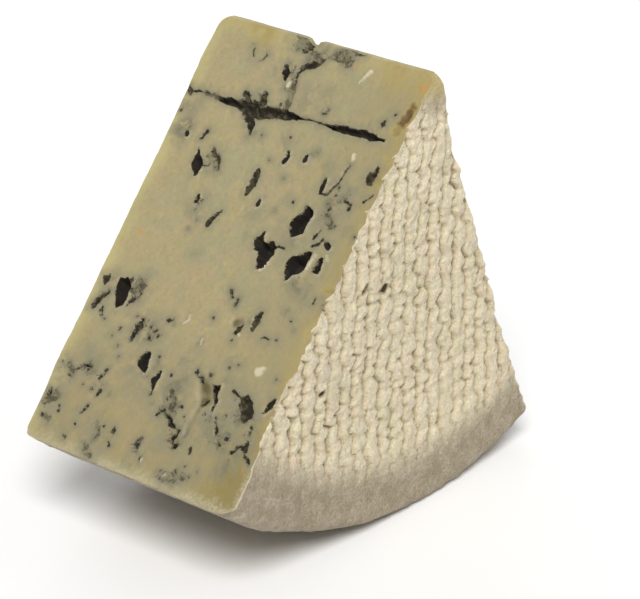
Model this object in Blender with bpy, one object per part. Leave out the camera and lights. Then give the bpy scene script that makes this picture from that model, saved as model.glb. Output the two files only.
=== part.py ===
"""A wedge of blue-veined cheese: about a sixth of a small drum, standing on its curved heel, point edge up.

The frame: metres, +Z up. Y runs along the drum's axis, which is the wedge's upper edge, X across the wedge.
The origin is on the surface it stands on, below the upper edge and halfway along it.
A place on a cut face is given as (down, along): down the face from the upper edge, and along the edge, +Y.
"""

import math
import random

import bmesh
import bpy
import numpy as np
from mathutils import Matrix, Vector

# Driving dimensions of the wedge
DRUM_RADIUS = 0.100
THICKNESS = 0.0568
VEINED_LEAN = math.radians(41)
BACK_LEAN = math.radians(21)
SETTLE = 0.0015  # how far the round heel is pressed flat where it stands

# The edge between each round rind face and the heel, and the corners at both ends of the upper edge
RIM_ALONG = 0.017
RIM_DOWN = 0.007
FAR_RIM_ALONG = 0.0055  # the far edge is much crisper
FAR_RIM_DOWN = 0.0024
RIM_SQUARE = 3.5
CORNER_ROUND = 0.0045
EDGE_WORN = 0.0005  # how much of the sharp upper edge is rubbed off flat
TOP_FLARE = 0.0016
HEEL_FLARE = 0.0011
FLARE_REACH = 0.022
FAR_FLARE = 0.2  # of the near face's flare, as the far face is flatter
SWEEP_STEPS = 31
FACE_STEPS = 26

# The pebbled skin of the two round rind faces: lumps in upright columns, each column half a lump lower
COLUMN_PITCH = 0.0042
LUMP_HEIGHT = 0.0034
GROOVE_DEPTH = 0.0009
CREST_BELOW = 0.00025
CREST_UNEVEN = 0.00030
PEBBLE_START = 0.0085  # below the upper edge, and above the heel, where the pebbles fade into smooth rind
PEBBLE_END = 0.0135
PEBBLE_FADE = 0.005
SMOOTH_BELOW = 0.00050  # how far the smooth rind lies below the lumps' crests

# The needle's channel, cut open lengthwise by the knife: (down, along) of both ends
NEEDLE_RADIUS = 0.00085
NEEDLE_IN = (0.0191, 0.0300)
NEEDLE_TIP = (0.0175, -0.0242)
NEEDLE_SUNK = 0.00015

# The eyes that the knife opened on the veined face: (down, along, length, width, slant in degrees)
# Slant 0 lies straight down the face, and a positive one turns the upper end towards +Y.
VEINED_EYES = (
    (0.0388, -0.0139, 0.0090, 0.0062, -24),
    (0.0468, -0.0090, 0.0120, 0.0050, -8),
    (0.0467, -0.0185, 0.0080, 0.0062, -38),
    (0.0455, -0.0226, 0.0066, 0.0030, -20),
    (0.0337, 0.0165, 0.0084, 0.0032, 12),
    (0.0336, 0.0017, 0.0066, 0.0024, -22),
    (0.0302, -0.0154, 0.0060, 0.0026, -16),
    (0.0257, -0.0252, 0.0056, 0.0036, -28),
    (0.0643, 0.0207, 0.0094, 0.0044, 6),
    (0.0765, 0.0072, 0.0066, 0.0036, 10),
    (0.0795, 0.0028, 0.0050, 0.0022, 40),
    (0.0610, -0.0141, 0.0056, 0.0024, -26),
    (0.0781, -0.0128, 0.0092, 0.0034, 4),
    (0.0789, -0.0217, 0.0060, 0.0032, -14),
    (0.0857, -0.0244, 0.0062, 0.0024, -32),
    (0.0850, -0.0026, 0.0056, 0.0022, 30),
    (0.0192, 0.0098, 0.0064, 0.0030, 84),
    (0.0108, -0.0262, 0.0040, 0.0022, -30),
)
EYE_DEPTH = 0.45  # of an eye's width
EYE_SUNK = 0.06  # of an eye's width, how far its middle lies below the cut
EYE_UNEVEN = 0.16

# The eyes of the other cut face are spread by a seeded draw inside its edges
BACK_EYES = 13
BACK_EYE_LENGTH = (0.0040, 0.0095)
BACK_EYE_SLIM = (0.36, 0.62)
BACK_EYE_SLANT = 35
BACK_EYE_GAP = 0.0105
BACK_EYE_MARGIN = 0.009
BACK_DRAW = 12
DRAW = 11  # for the unevenness of the crests and the eyes

# The nick in the upper edge, and on the near rind the two needle holes and a pit: (across, up, radius)
NICK_ALONG = 0.0029
NICK_LENGTH = 0.0058
NICK_DEPTH = 0.0016
RIND_HOLES = (
    (-0.0225, 0.0575, 0.0010),
    (-0.0151, 0.0547, 0.0010),
    (-0.0360, 0.0390, 0.0008),
)
RIND_HOLE_DEPTH = 0.0032

# Looks
PASTE_COLOUR = (0.62, 0.56, 0.37, 1.0)
PASTE_ROUGHNESS = 0.45

UPPER_EDGE = DRUM_RADIUS - SETTLE
HALF = THICKNESS / 2
ALONG = Vector((0.0, 1.0, 0.0))


def down_face(lean):
    """The direction down a cut face that leans by this angle, negative towards -X."""
    return Vector((math.sin(lean), 0.0, -math.cos(lean)))


def out_of_face(lean):
    """The direction that points out of the cheese from the cut face that leans by this angle."""
    side = -1.0 if lean < 0 else 1.0
    return Vector((math.cos(lean), 0.0, math.sin(lean))) * side


def on_face(lean, down, along, out=0.0):
    """A point on a cut face, or out of it."""
    edge = Vector((0.0, along, UPPER_EDGE))
    return edge + down_face(lean) * down + out_of_face(lean) * out


def smooth_step(value, start, end):
    """Rises from 0 at start to 1 at end along a soft S."""
    part = np.clip((value - start) / (end - start), 0.0, 1.0)
    return part * part * (3 - 2 * part)


def flare(distance):
    """How far a rind face stands proud of flat, this far from the upper edge: most there and low down."""
    top = TOP_FLARE * (1 - smooth_step(distance, 0.0, FLARE_REACH))
    rim_start = DRUM_RADIUS - RIM_DOWN
    return top + HEEL_FLARE * smooth_step(distance, rim_start - FLARE_REACH, rim_start)


def smooth_rind(distance):
    """0 where the rind is pebbled and 1 where it is smooth, this far from the upper edge."""
    end = DRUM_RADIUS - PEBBLE_END
    low = smooth_step(distance, end - PEBBLE_FADE, end + PEBBLE_FADE)
    return low + 1 - smooth_step(distance, PEBBLE_START - PEBBLE_FADE, PEBBLE_START + PEBBLE_FADE)


def half_section(flare_share, rim_along, rim_down):
    """(distance from the upper edge, along) from the upper edge round the near rind to the heel.

    The corner is a quarter circle, the rind face is straight plus its share of the flare, and the rim
    is a quarter of a superellipse, so that it is squarer than a circle.
    """
    turn = np.linspace(0, math.pi / 2, 5)
    corner = np.stack([CORNER_ROUND * (1 - np.cos(turn)), CORNER_ROUND * (1 - np.sin(turn))])
    face = np.linspace(CORNER_ROUND, DRUM_RADIUS - rim_down, FACE_STEPS)[1:-1]
    face = np.stack([face, np.zeros_like(face)])
    turn = np.linspace(0, math.pi / 2, 10)
    bend = 2 / RIM_SQUARE
    rim = np.stack([
        DRUM_RADIUS - rim_down * (1 - np.sin(turn) ** bend),
        rim_along * (1 - np.cos(turn) ** bend),
    ])
    away, inward = np.concatenate([corner, face, rim], axis=1)
    proud = flare_share * flare(away) * (1 - smooth_step(inward, 0.0, rim_along))
    return away, -HALF + inward - proud + SMOOTH_BELOW * smooth_rind(away)


def object_from(bm, name, collection):
    """A new object made from this bmesh, in this collection."""
    mesh = bpy.data.meshes.new(name)
    bm.to_mesh(mesh)
    bm.free()
    made = bpy.data.objects.new(name, mesh)
    collection.objects.link(made)
    return made


def cut_level(bm, height, away):
    """Cuts off what lies past this height, above it for 1 or below it for -1, and closes the flat."""
    found = bmesh.ops.bisect_plane(
        bm,
        geom=[*bm.verts, *bm.edges, *bm.faces],
        dist=1e-7,
        plane_co=(0, 0, height),
        plane_no=(0, 0, away),
        clear_outer=True,
    )
    outline = [e for e in found["geom_cut"] if isinstance(e, bmesh.types.BMEdge)]
    bmesh.ops.contextual_create(bm, geom=outline)


def turned_sector(name, collection):
    """The smooth wedge: its section through the drum's axis, spun about the upper edge between the cuts."""
    near_away, near = half_section(1.0, RIM_ALONG, RIM_DOWN)
    far_away, far = half_section(FAR_FLARE, FAR_RIM_ALONG, FAR_RIM_DOWN)
    away = np.concatenate([near_away, far_away[::-1]])
    along = np.concatenate([near, -far[::-1]])
    bm = bmesh.new()
    ring = [bm.verts.new(on_face(-VEINED_LEAN, float(a), float(y))) for a, y in zip(away, along)]
    section = bm.faces.new(ring)
    bmesh.ops.spin(
        bm,
        geom=[section, *section.edges, *section.verts],
        cent=(0, 0, UPPER_EDGE),
        axis=-ALONG,
        angle=VEINED_LEAN + BACK_LEAN,
        steps=SWEEP_STEPS,
        use_duplicate=False,
    )
    bmesh.ops.remove_doubles(bm, verts=bm.verts, dist=1e-6)
    cut_level(bm, 0.0, -1)
    cut_level(bm, UPPER_EDGE - EDGE_WORN, 1)
    bmesh.ops.recalc_face_normals(bm, faces=bm.faces)
    if bm.calc_volume(signed=True) < 0:
        bmesh.ops.reverse_faces(bm, faces=bm.faces)
    return object_from(bm, name, collection)


def pebbled_slab(name, collection):
    """A block whose two faces across Y are the pebbled skin, to be cut to the wedge.

    Each face is a grid whose odd rows are moved half a step, so that its triangles make six-sided
    cells. Every third point is a crest, and the points round it lie a groove's depth deeper. Near the
    upper edge and low down the lumps fade, and there the smooth wedge lies inside the block, so that
    its own surface is what is left.
    """
    left = DRUM_RADIUS * math.sin(VEINED_LEAN) + 2 * COLUMN_PITCH
    right = DRUM_RADIUS * math.sin(BACK_LEAN) + 2 * COLUMN_PITCH
    bottom, top = -2 * LUMP_HEIGHT, UPPER_EDGE + 2 * LUMP_HEIGHT
    step_across, step_up = COLUMN_PITCH * 2 / 3, LUMP_HEIGHT / 2
    across, up = round((left + right) / step_across), round((top - bottom) / step_up)
    bm = bmesh.new()
    bmesh.ops.create_grid(bm, x_segments=across, y_segments=up, size=0.5)
    draw = random.Random(DRAW)
    for vert in bm.verts:
        column, row = round((vert.co.x + 0.5) * across), round((vert.co.y + 0.5) * up)
        is_crest = (2 * column + row % 2) % 3 == 0
        drop = draw.uniform(0, CREST_UNEVEN) if is_crest else GROOVE_DEPTH
        vert.co = (-left + (column + row % 2 / 2) * step_across, drop, bottom + row * step_up)
    bmesh.ops.triangulate(bm, faces=bm.faces, quad_method="SHORT_EDGE")
    near = list(bm.verts)
    grown = bmesh.ops.extrude_face_region(bm, geom=list(bm.faces), use_keep_orig=True)
    far = [v for v in grown["geom"] if isinstance(v, bmesh.types.BMVert)]
    for verts, side, flare_share in ((near, -1, 1.0), (far, 1, FAR_FLARE)):
        for vert in verts:
            away = math.hypot(vert.co.x, UPPER_EDGE - vert.co.z)
            below = CREST_BELOW + vert.co.y * (1 - smooth_rind(away))
            vert.co.y = side * (HALF + flare_share * flare(away) - below)
    bmesh.ops.recalc_face_normals(bm, faces=bm.faces)
    return object_from(bm, name, collection)


def add_eye(bm, draw, lean, down, along, length, width, slant):
    """An uneven, flattened hollow on a cut face, its middle just below the face."""
    made = bmesh.ops.create_icosphere(bm, subdivisions=2, radius=1.0)["verts"]
    turn = math.radians(slant)
    lengthwise = -down_face(lean) * math.cos(turn) + ALONG * math.sin(turn)
    outward = out_of_face(lean)
    sideways = outward.cross(lengthwise)
    middle = on_face(lean, down, along, out=-width * EYE_SUNK)
    for vert in made:
        size = 1 + draw.uniform(-EYE_UNEVEN, EYE_UNEVEN)
        x, y, z = vert.co * size
        offset = lengthwise * x * length / 2 + sideways * y * width / 2
        vert.co = middle + offset + outward * z * width * EYE_DEPTH


def back_eyes():
    """The other cut face's eyes: random places inside its edges, a fair gap apart, then a size for each."""
    draw = random.Random(BACK_DRAW)
    places = []
    while len(places) < BACK_EYES:
        down = draw.uniform(2 * BACK_EYE_MARGIN, DRUM_RADIUS - BACK_EYE_MARGIN)
        along = draw.uniform(BACK_EYE_MARGIN - HALF, HALF - BACK_EYE_MARGIN)
        if all(math.hypot(down - d, along - a) > BACK_EYE_GAP for d, a in places):
            places.append((down, along))
    found = []
    for down, along in places:
        length = draw.uniform(*BACK_EYE_LENGTH)
        width = length * draw.uniform(*BACK_EYE_SLIM)
        slant = draw.uniform(-BACK_EYE_SLANT, BACK_EYE_SLANT)
        found.append((down, along, length, width, slant))
    return found


def eyes(name, collection):
    """Every eye of both cut faces, and the nick in the upper edge, as one cutter."""
    draw = random.Random(DRAW)
    bm = bmesh.new()
    for place in VEINED_EYES:
        add_eye(bm, draw, -VEINED_LEAN, *place)
    for place in back_eyes():
        add_eye(bm, draw, BACK_LEAN, *place)
    nick = Matrix.Translation((0, NICK_ALONG, UPPER_EDGE))
    nick = nick @ Matrix.Diagonal((NICK_LENGTH, NICK_LENGTH / 2, NICK_DEPTH, 1))
    bmesh.ops.create_icosphere(bm, subdivisions=2, radius=1.0, matrix=nick)
    return object_from(bm, name, collection)


def needle_marks(name, collection):
    """The needle's channel along the veined face, and the holes and the pit in the near rind, as one cutter."""
    bm = bmesh.new()
    start = on_face(-VEINED_LEAN, *NEEDLE_IN, out=-NEEDLE_SUNK)
    end = on_face(-VEINED_LEAN, *NEEDLE_TIP, out=-NEEDLE_SUNK)
    turned = (end - start).to_track_quat("Z", "Y").to_matrix().to_4x4()
    bmesh.ops.create_cone(
        bm,
        cap_ends=True,
        segments=8,
        radius1=NEEDLE_RADIUS,
        radius2=NEEDLE_RADIUS * 0.8,
        depth=(end - start).length,
        matrix=Matrix.Translation((start + end) / 2) @ turned,
    )
    into_rind = Matrix.Rotation(-math.pi / 2, 4, "X")
    for across, up, radius in RIND_HOLES:
        bmesh.ops.create_cone(
            bm,
            cap_ends=True,
            segments=8,
            radius1=radius,
            radius2=radius / 2,
            depth=2 * RIND_HOLE_DEPTH,
            matrix=Matrix.Translation((across, -HALF, up)) @ into_rind,
        )
    return object_from(bm, name, collection)


def cut(target, tool, operation, overlapping=False):
    """A Boolean of the target with this tool, left live on the target. The tool's own shapes may overlap."""
    modifier = target.modifiers.new(tool.name, "BOOLEAN")
    modifier.operation = operation
    modifier.object = tool
    modifier.solver = "EXACT"
    modifier.use_self = overlapping
    tool.hide_render = True
    tool.display_type = "WIRE"


def paste_material():
    material = bpy.data.materials.new("cheese_paste")
    material.use_nodes = True
    shader = material.node_tree.nodes["Principled BSDF"]
    shader.inputs["Base Color"].default_value = PASTE_COLOUR
    shader.inputs["Roughness"].default_value = PASTE_ROUGHNESS
    shader.inputs["Metallic"].default_value = 0.0
    return material


def main():
    for old in list(bpy.data.objects):
        bpy.data.objects.remove(old, do_unlink=True)
    pieces = bpy.data.collections.new("danish_blue_wedge")
    cutters = bpy.data.collections.new("cutters")
    bpy.context.scene.collection.children.link(pieces)
    bpy.context.scene.collection.children.link(cutters)

    wedge = turned_sector("cheese_wedge", pieces)
    cut(wedge, pebbled_slab("pebbled_slab", cutters), "INTERSECT")
    cut(wedge, eyes("eyes", cutters), "DIFFERENCE", overlapping=True)
    cut(wedge, needle_marks("needle_marks", cutters), "DIFFERENCE")
    wedge.data.materials.append(paste_material())


main()
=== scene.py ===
# %% [markdown]
# # A wedge of blue-veined cheese
# The wedge is about a sixth of a small drum of cheese. It stands on its curved heel, with the drum's axis
# as its upper edge. Two flat faces were cut with a knife and show the paste with its eyes and veins of
# mould. The two round faces are rind, pressed into rows of lumps by the mat that the drum drained on. The
# construction script holds the plain solid, and this lesson gives it its skin.

# %% Load the frame
import math
import random

import bmesh
import bpy
import numpy as np
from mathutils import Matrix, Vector


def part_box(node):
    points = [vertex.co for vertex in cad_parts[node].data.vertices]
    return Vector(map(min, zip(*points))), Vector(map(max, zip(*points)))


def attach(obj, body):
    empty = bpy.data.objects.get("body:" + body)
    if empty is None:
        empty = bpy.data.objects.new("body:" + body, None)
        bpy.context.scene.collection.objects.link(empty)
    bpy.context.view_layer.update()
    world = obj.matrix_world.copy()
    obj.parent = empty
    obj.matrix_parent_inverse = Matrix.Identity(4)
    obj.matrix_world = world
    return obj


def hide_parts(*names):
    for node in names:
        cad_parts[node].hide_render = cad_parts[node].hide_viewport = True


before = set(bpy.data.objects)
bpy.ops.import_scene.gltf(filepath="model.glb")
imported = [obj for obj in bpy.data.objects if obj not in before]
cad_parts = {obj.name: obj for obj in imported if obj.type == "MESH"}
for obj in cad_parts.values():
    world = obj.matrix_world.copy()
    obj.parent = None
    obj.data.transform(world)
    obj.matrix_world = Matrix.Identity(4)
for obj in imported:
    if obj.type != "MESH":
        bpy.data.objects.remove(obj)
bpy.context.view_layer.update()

MM = 0.001
low, high = np.array(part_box("cheese_wedge")) / MM
print("the solid reaches from", low.round(1), "to", high.round(1), "mm")

# %% [markdown]
# ## Camera
# The wedge was seen from a little above, with the veined face turned to the left and the rind to the
# right. A long lens keeps its upright columns nearly parallel. The camera comes first, so that every
# later step can be rendered.

# %% Camera
CAMERA_PLACE = Vector((-0.4779, -0.3926, 0.3254))
CAMERA_AIM = Vector((-0.0042, -0.0015, 0.0406))
LENS, SENSOR = 178.5, 36.0  # mm


def add_camera():
    camera = bpy.data.objects.new("camera", bpy.data.cameras.new("camera"))
    camera.data.lens = LENS
    camera.data.sensor_width = SENSOR
    camera.data.clip_start = 0.05
    camera.location = CAMERA_PLACE
    camera.rotation_euler = (CAMERA_AIM - CAMERA_PLACE).to_track_quat("-Z", "Y").to_euler()
    bpy.context.scene.collection.objects.link(camera)
    bpy.context.scene.camera = camera
    return camera


camera = add_camera()
print(camera.name, round((CAMERA_AIM - CAMERA_PLACE).length, 3), "m from its aim")

# %% [markdown]
# ## The wedge's own sizes
# All shapes below are worked out in millimetres and turned into metres at the end. A place on a cut face
# is given as (down, along): down the face from the upper edge, and along that edge, which is the Y axis.
# A place on the rind is a distance from the upper edge and an angle about it.

# %% Sizes
RADIUS = 100.0
HALF = 28.4  # of the width along the upper edge
LEAN_VEINED, LEAN_BACK = -math.radians(41), math.radians(21)
UPPER_EDGE = RADIUS - 1.5  # its height, as the heel is pressed level where it stands
WORN = 0.66  # the sharp upper edge is rubbed off to here
RIM_ALONG, RIM_DOWN, RIM_SQUARE = 17.0, 7.0, 3.5
FAR_RIM_ALONG, FAR_RIM_DOWN, FAR_SQUARE = 3.4, 2.2, 2.4
CORNER = 4.5  # radius of the soft bend at the upper edge
TOP_FLARE, HEEL_FLARE, FLARE_REACH, FAR_FLARE = 1.6, 1.1, 22.0, 0.2


def smooth_step(value, start, end):
    """Rises from 0 at start to 1 at end along a soft S: three squares less two cubes of the part covered."""
    part = np.clip((value - start) / (end - start), 0.0, 1.0)
    return part * part * (3 - 2 * part)


def flare(away):
    """How far a rind face stands proud of flat: most at the upper edge, and again low down near the rim."""
    top = TOP_FLARE * (1 - smooth_step(away, 0.0, FLARE_REACH))
    rim_start = RADIUS - RIM_DOWN
    return top + HEEL_FLARE * smooth_step(away, rim_start - FLARE_REACH, rim_start)


# %% [markdown]
# ## Soft random hills
# Nothing on a cheese is quite even. A table of random numbers, read between its entries along a soft
# curve, gives smooth hills of a chosen size. Adding the same hills at half the size and half the height,
# a few times over, makes them rough. The table comes from a seeded generator, so each run gives the same
# cheese, and each call names its seed, so that one set of hills doesn't follow another.

# %% Random hills
TABLE = 128
TABLE_START = (31.7, 17.3)


def hills(x, y, size, seed):
    """Random values from -1 to 1 at whole steps of size, joined by an S curve along x and then along y."""
    table = np.random.default_rng(seed).uniform(-1, 1, (TABLE, TABLE))
    u, v = x / size + TABLE_START[0], y / size + TABLE_START[1]
    i, j = np.floor(u).astype(int), np.floor(v).astype(int)
    part_u, part_v = smooth_step(u - i, 0, 1), smooth_step(v - j, 0, 1)
    i, j, i_next, j_next = i % TABLE, j % TABLE, (i + 1) % TABLE, (j + 1) % TABLE
    near = table[i, j] * (1 - part_u) + table[i_next, j] * part_u
    far = table[i, j_next] * (1 - part_u) + table[i_next, j_next] * part_u
    return near * (1 - part_v) + far * part_v


def rough_hills(x, y, size, seed, layers=3):
    """The sum of layers of hills, each half as wide and half as high as the last."""
    return sum(hills(x, y, size / 2**k, seed + k) / 2**k for k in range(layers))


# %% [markdown]
# ## The rind's section
# The rind, the rounded rim and the heel are one profile carried round the upper edge: down the near rind
# face, round the rim, along the heel, round the other rim and up the far face. One number says where on
# the profile a point is: 0 to 1 down the near face and rim, 1 to 2 along the heel, and 2 to 3 back up the
# far side. A bevel on a plain solid would round both rims alike, and a profile gives each its own shape.

# %% The section
def half_profile(rim_along, rim_down, square):
    """(distance from the edge, inward, length so far): quarter circle, straight, squarish quarter oval.

    On the rim, the distances from its two ends, each to the power of the squareness, always add up to one.
    """
    start = math.acos(1 - WORN / CORNER)
    turn = np.linspace(start, math.pi / 2, 60)
    corner = np.stack([CORNER * (1 - np.cos(turn)), CORNER * (1 - np.sin(turn))])
    face = np.linspace(CORNER, RADIUS - rim_down, 400)[1:-1]
    face = np.stack([face, 0 * face])
    turn = np.linspace(0, math.pi / 2, 400)
    bend = 2 / square
    rim = np.stack([RADIUS - rim_down * (1 - np.sin(turn) ** bend), rim_along * (1 - np.cos(turn) ** bend)])
    line = np.concatenate([corner, face, rim], axis=1)
    return *line, np.concatenate([[0], np.cumsum(np.hypot(*np.diff(line, axis=1)))])


NEAR_PROFILE = half_profile(RIM_ALONG, RIM_DOWN, RIM_SQUARE)
FAR_PROFILE = half_profile(FAR_RIM_ALONG, FAR_RIM_DOWN, FAR_SQUARE)
KNEE, KNEE_AWAY = 0.82, RADIUS - RIM_DOWN  # both sides reach this distance at this place on the section


def half_section(part, profile):
    """(distance from the edge, inward) at a part of one half, from 0 at the upper edge to 1 on the heel."""
    away, inward, run = profile
    at = np.interp(part, (0, KNEE, 1), (0, np.interp(KNEE_AWAY, away, run), run[-1]))
    return np.interp(at, run, away), np.interp(at, run, inward)


def section(w):
    """(distance from the edge, along) at w, from 0 to 3 as above: near half, straight heel, far half."""
    near_away, near_in = half_section(np.clip(w, 0, 1), NEAR_PROFILE)
    far_away, far_in = half_section(np.clip(3 - w, 0, 1), FAR_PROFILE)
    near_out = flare(near_away) * (1 - smooth_step(near_in, 0, RIM_ALONG))
    far_out = FAR_FLARE * flare(far_away) * (1 - smooth_step(far_in, 0, FAR_RIM_ALONG))
    near, far = -HALF + near_in - near_out, HALF - far_in + far_out
    on_heel = np.clip(w - 1, 0, 1)
    heel = on_heel * (HALF - FAR_RIM_ALONG) - (1 - on_heel) * (HALF - RIM_ALONG)
    return np.where(w <= 1.5, near_away, far_away), np.where(w <= 1, near, np.where(w < 2, heel, far))


for side, (_, _, run) in (("near", NEAR_PROFILE), ("far", FAR_PROFILE)):
    print("the profile on the", side, "side is", run[-1].round(1), "mm long")

# %% [markdown]
# ## The pebbled skin
# The drum drained in a mould whose wall left upright columns of lumps, like rows of thick rope. The
# groove between two columns wanders from side to side as it goes up, and uneven joints cut each column
# into lumps. Grains of curd roughen the lumps. A displacement texture could raise all this, but a height
# worked out for each point also tells the finish how deep in a groove the point lies.

# %% The skin
COLUMN_PITCH, LUMP_HEIGHT = 4.2, 3.4
WANDER, WANDER_SIZES = 0.22, (2.3, 1.2)  # in pitches, and how long its bends are
GROOVE_REACH, GROOVE_POWER = 1.6, 2.3
JOINT_REACH, JOINT_JITTER, JOINT_DEPTH = 1.0, 0.38, 0.7
GROOVE_DEPTH, CREST_BELOW, FAR_BELOW = 1.45, 0.12, 0.16
NEAR_DRAW, FAR_DRAW = 5, 6
SMOOTH_BELOW, HEEL_BELOW = 0.75, 0.05
PEBBLES_FROM, PEBBLES_TO, PEBBLE_FADE = 8.5, RADIUS - 13.5, 5.0
PROUD, RIM_PROUD, PROUD_REACH = 1.15, 1.7, 30.0
CURD_HEIGHT, GRAIN_HEIGHT = 0.26, 0.17
LOT_DEPTH, STEP_DEPTH = 0.16, 0.9  # between one lump and the next, and along the cut
HOLE_SHADE = 2.2  # a groove is shaded up to 1, and a needle's hole darker
BOX_GAP = 0.04  # the least that is left between the skin and the solid's box


def lumps(x, z, seed):
    """(height from 0 in a groove to 1 on a crest, a random number for each lump), at x across and z up.

    A column lies between two wandering borders. Its height is one less the share still left of a set reach
    from the nearer border, to a power, and less again near a joint, most at the column's sides.
    """
    across = x / COLUMN_PITCH
    start = np.floor(across).astype(int) - 1
    left, right, column = np.full(x.shape, -1e9), np.full(x.shape, 1e9), start
    for border in (start, start + 1, start + 2, start + 3):
        bends = (hills(border * size, z, size, seed + k) for k, size in enumerate(WANDER_SIZES))
        place = border + sum(WANDER * bend for bend in bends)
        column = np.where((place <= across) & (place > left), border, column)
        left = np.where(place <= across, np.maximum(left, place), left)
        right = np.where(place > across, np.minimum(right, place), right)
    side = 1 - np.clip(np.minimum(across - left, right - across) * COLUMN_PITCH / GROOVE_REACH, 0, 1)
    fall = (0.8 + 0.35 * hills(x, z, 6.0, seed + 2)) * side**GROOVE_POWER
    jitter = np.random.default_rng(seed).uniform(-1, 1, (2, TABLE, TABLE))
    up = z / LUMP_HEIGHT + 0.5 * (column % 2)
    row = np.floor(up).astype(int)
    nearest, strength, lot = np.full(x.shape, 9.0), np.zeros(x.shape), np.zeros(x.shape)
    for step in (-1, 0, 1, 2):
        i, j = column % TABLE, (row + step) % TABLE
        joint = row + step + JOINT_JITTER * jitter[0, i, j]
        gap = np.abs(up - joint) * LUMP_HEIGHT
        strength = np.where(gap < nearest, 0.5 + 0.5 * jitter[1, i, j], strength)
        nearest = np.minimum(nearest, gap)
        lot = np.where(up >= joint, jitter[1, i, j], lot)
    joint = strength * (1 - np.clip(nearest / JOINT_REACH, 0, 1)) ** 2 * (0.45 + 0.55 * side)
    return np.clip(1 - fall - JOINT_DEPTH * joint, 0, 1), lot


def smooth_rind(away):
    """0 where the rind is pebbled and 1 where it is smooth, this far from the upper edge."""
    low_down = smooth_step(away, PEBBLES_TO - PEBBLE_FADE, PEBBLES_TO + PEBBLE_FADE)
    return low_down + 1 - smooth_step(away, PEBBLES_FROM - PEBBLE_FADE, PEBBLES_FROM + PEBBLE_FADE)


# Each hole of a needle is (across, up, radius, depth).
NEEDLE_HOLES = ((-22.5, 57.5, 1.35, 1.6), (-15.1, 54.7, 1.25, 1.0), (-36.0, 39.0, 0.9, 1.0))


def stands_out(angle, away, along):
    """How far the near rind stands out beside the veined cut: halfway down it, and again on the rim."""
    by_cut = 1 - smooth_step((angle - LEAN_VEINED) * away, 2.0, PROUD_REACH)
    out = PROUD * smooth_step(away, 8, 22) * (1 - smooth_step(away, 66, 84))
    out = out + RIM_PROUD * smooth_step(away, 82, 94) * smooth_step(-along, HALF - RIM_ALONG, HALF - 5)
    return by_cut * out


def skin_depth(angle, away, along, w):
    """(depth of the skin below its outline, how deep in a groove, how smooth) at a place on the rind.

    The depths of the pebbled and the smooth rind are blended by the smoothness. A step beside the cut, the
    needle's holes and broad dents are added, and what stands out is taken off.
    """
    x, z = away * np.sin(angle), UPPER_EDGE - away * np.cos(angle)
    near = w < 1.5
    height, lot = lumps(x, z, NEAR_DRAW)
    far_height, far_lot = lumps(x, z, FAR_DRAW)
    height, lot = np.where(near, height, far_height), np.where(near, lot, far_lot)
    from_cut = np.minimum(angle - LEAN_VEINED, LEAN_BACK - angle) * away
    relief = 1 - np.where(near, 0.3, 0.9) * (1 - smooth_step(from_cut, 0, np.where(near, 2.5, 7.0)))
    plain = smooth_rind(away)
    on_heel = np.where(near, smooth_step(away, 92, 98), smooth_step(away, 99.3, 99.95))

    curds = CURD_HEIGHT * rough_hills(x, z, 1.9, 60) + GRAIN_HEIGHT * hills(x, z, 0.9, 63)
    pebbled = CREST_BELOW + relief * (GROOVE_DEPTH * (1 - height) + LOT_DEPTH * (lot + 1) + curds)
    run = np.where(away > RADIUS - 1, along, z)
    bare = 0.2 * rough_hills(x, run, 6.0, 61) + 0.17 * rough_hills(x, run, 1.9, 64, 2)
    bare = SMOOTH_BELOW + (HEEL_BELOW - SMOOTH_BELOW) * on_heel + relief * bare
    step = STEP_DEPTH * np.abs(hills(x, z, 3.6, 66)) * (1 - smooth_step(from_cut, 0.8, 4.0))
    step = np.where(near, step * smooth_step(away, 8, 16), 0)
    out = np.where(near, stands_out(angle, away, along), 0)
    depth = pebbled * (1 - plain) + bare * plain + np.where(near, 0, FAR_BELOW) - out + step

    groove = (1 - height) * (1 - plain)
    for hole_x, hole_z, radius, deep in NEEDLE_HOLES:
        inside = np.where(near, 1 - np.hypot(x - hole_x, z - hole_z) / radius, 0)
        depth = depth + deep * (1 - (1 - np.clip(inside, 0, 1)) ** 3)
        groove = np.maximum(groove, HOLE_SHADE * smooth_step(inside, -0.05, 0.3))
    flat = smooth_step(np.abs(along), HALF - RIM_ALONG, HALF - 4)
    dent = (0.25 + 0.2 * hills(x, z, 13.0, 67)) * flat * smooth_step(away, 6, 20) * (1 - on_heel)
    return depth + dent, groove, plain


def rind_point(angle, w):
    """((x, y, z), groove, smoothness) at an angle about the edge and a place on the section.

    The section's point is moved in by the skin's depth, against the section's outward normal, then turned.
    """
    away, along = section(w)
    ahead, behind = section(np.clip(w + 1e-3, 0, 3)), section(np.clip(w - 1e-3, 0, 3))
    run, rise = ahead[0] - behind[0], ahead[1] - behind[1]
    size = np.hypot(run, rise)
    depth, groove, plain = skin_depth(angle, away, along, w)
    away = np.minimum(away - depth * rise / size, RADIUS - BOX_GAP)
    along = np.clip(along + depth * run / size, low[1] + BOX_GAP, high[1] - BOX_GAP)
    x, z = away * np.sin(angle), UPPER_EDGE - away * np.cos(angle)
    return np.stack([x, along, np.maximum(z, 0.0)], axis=-1), groove, plain


# %% [markdown]
# ## Eyes, cracks and mould
# The mould grows where air gets in: in the eyes between the curds, in fine cracks, and along the channel
# that a needle left. The knife cut through all of them. Most are drawn as a stroke of a brush, a path of
# places on the face with the brush's half width at each: (down, along, half width). An eye with a shape
# of its own, and one vein, is an outline, a ring of bare places: (down, along). The first number of each
# is how deep it goes into the cheese. All are in millimetres. Booleans could cut them, but a stroke gives
# the depth and the colour at once, and the skin stays one closed mesh.

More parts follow.
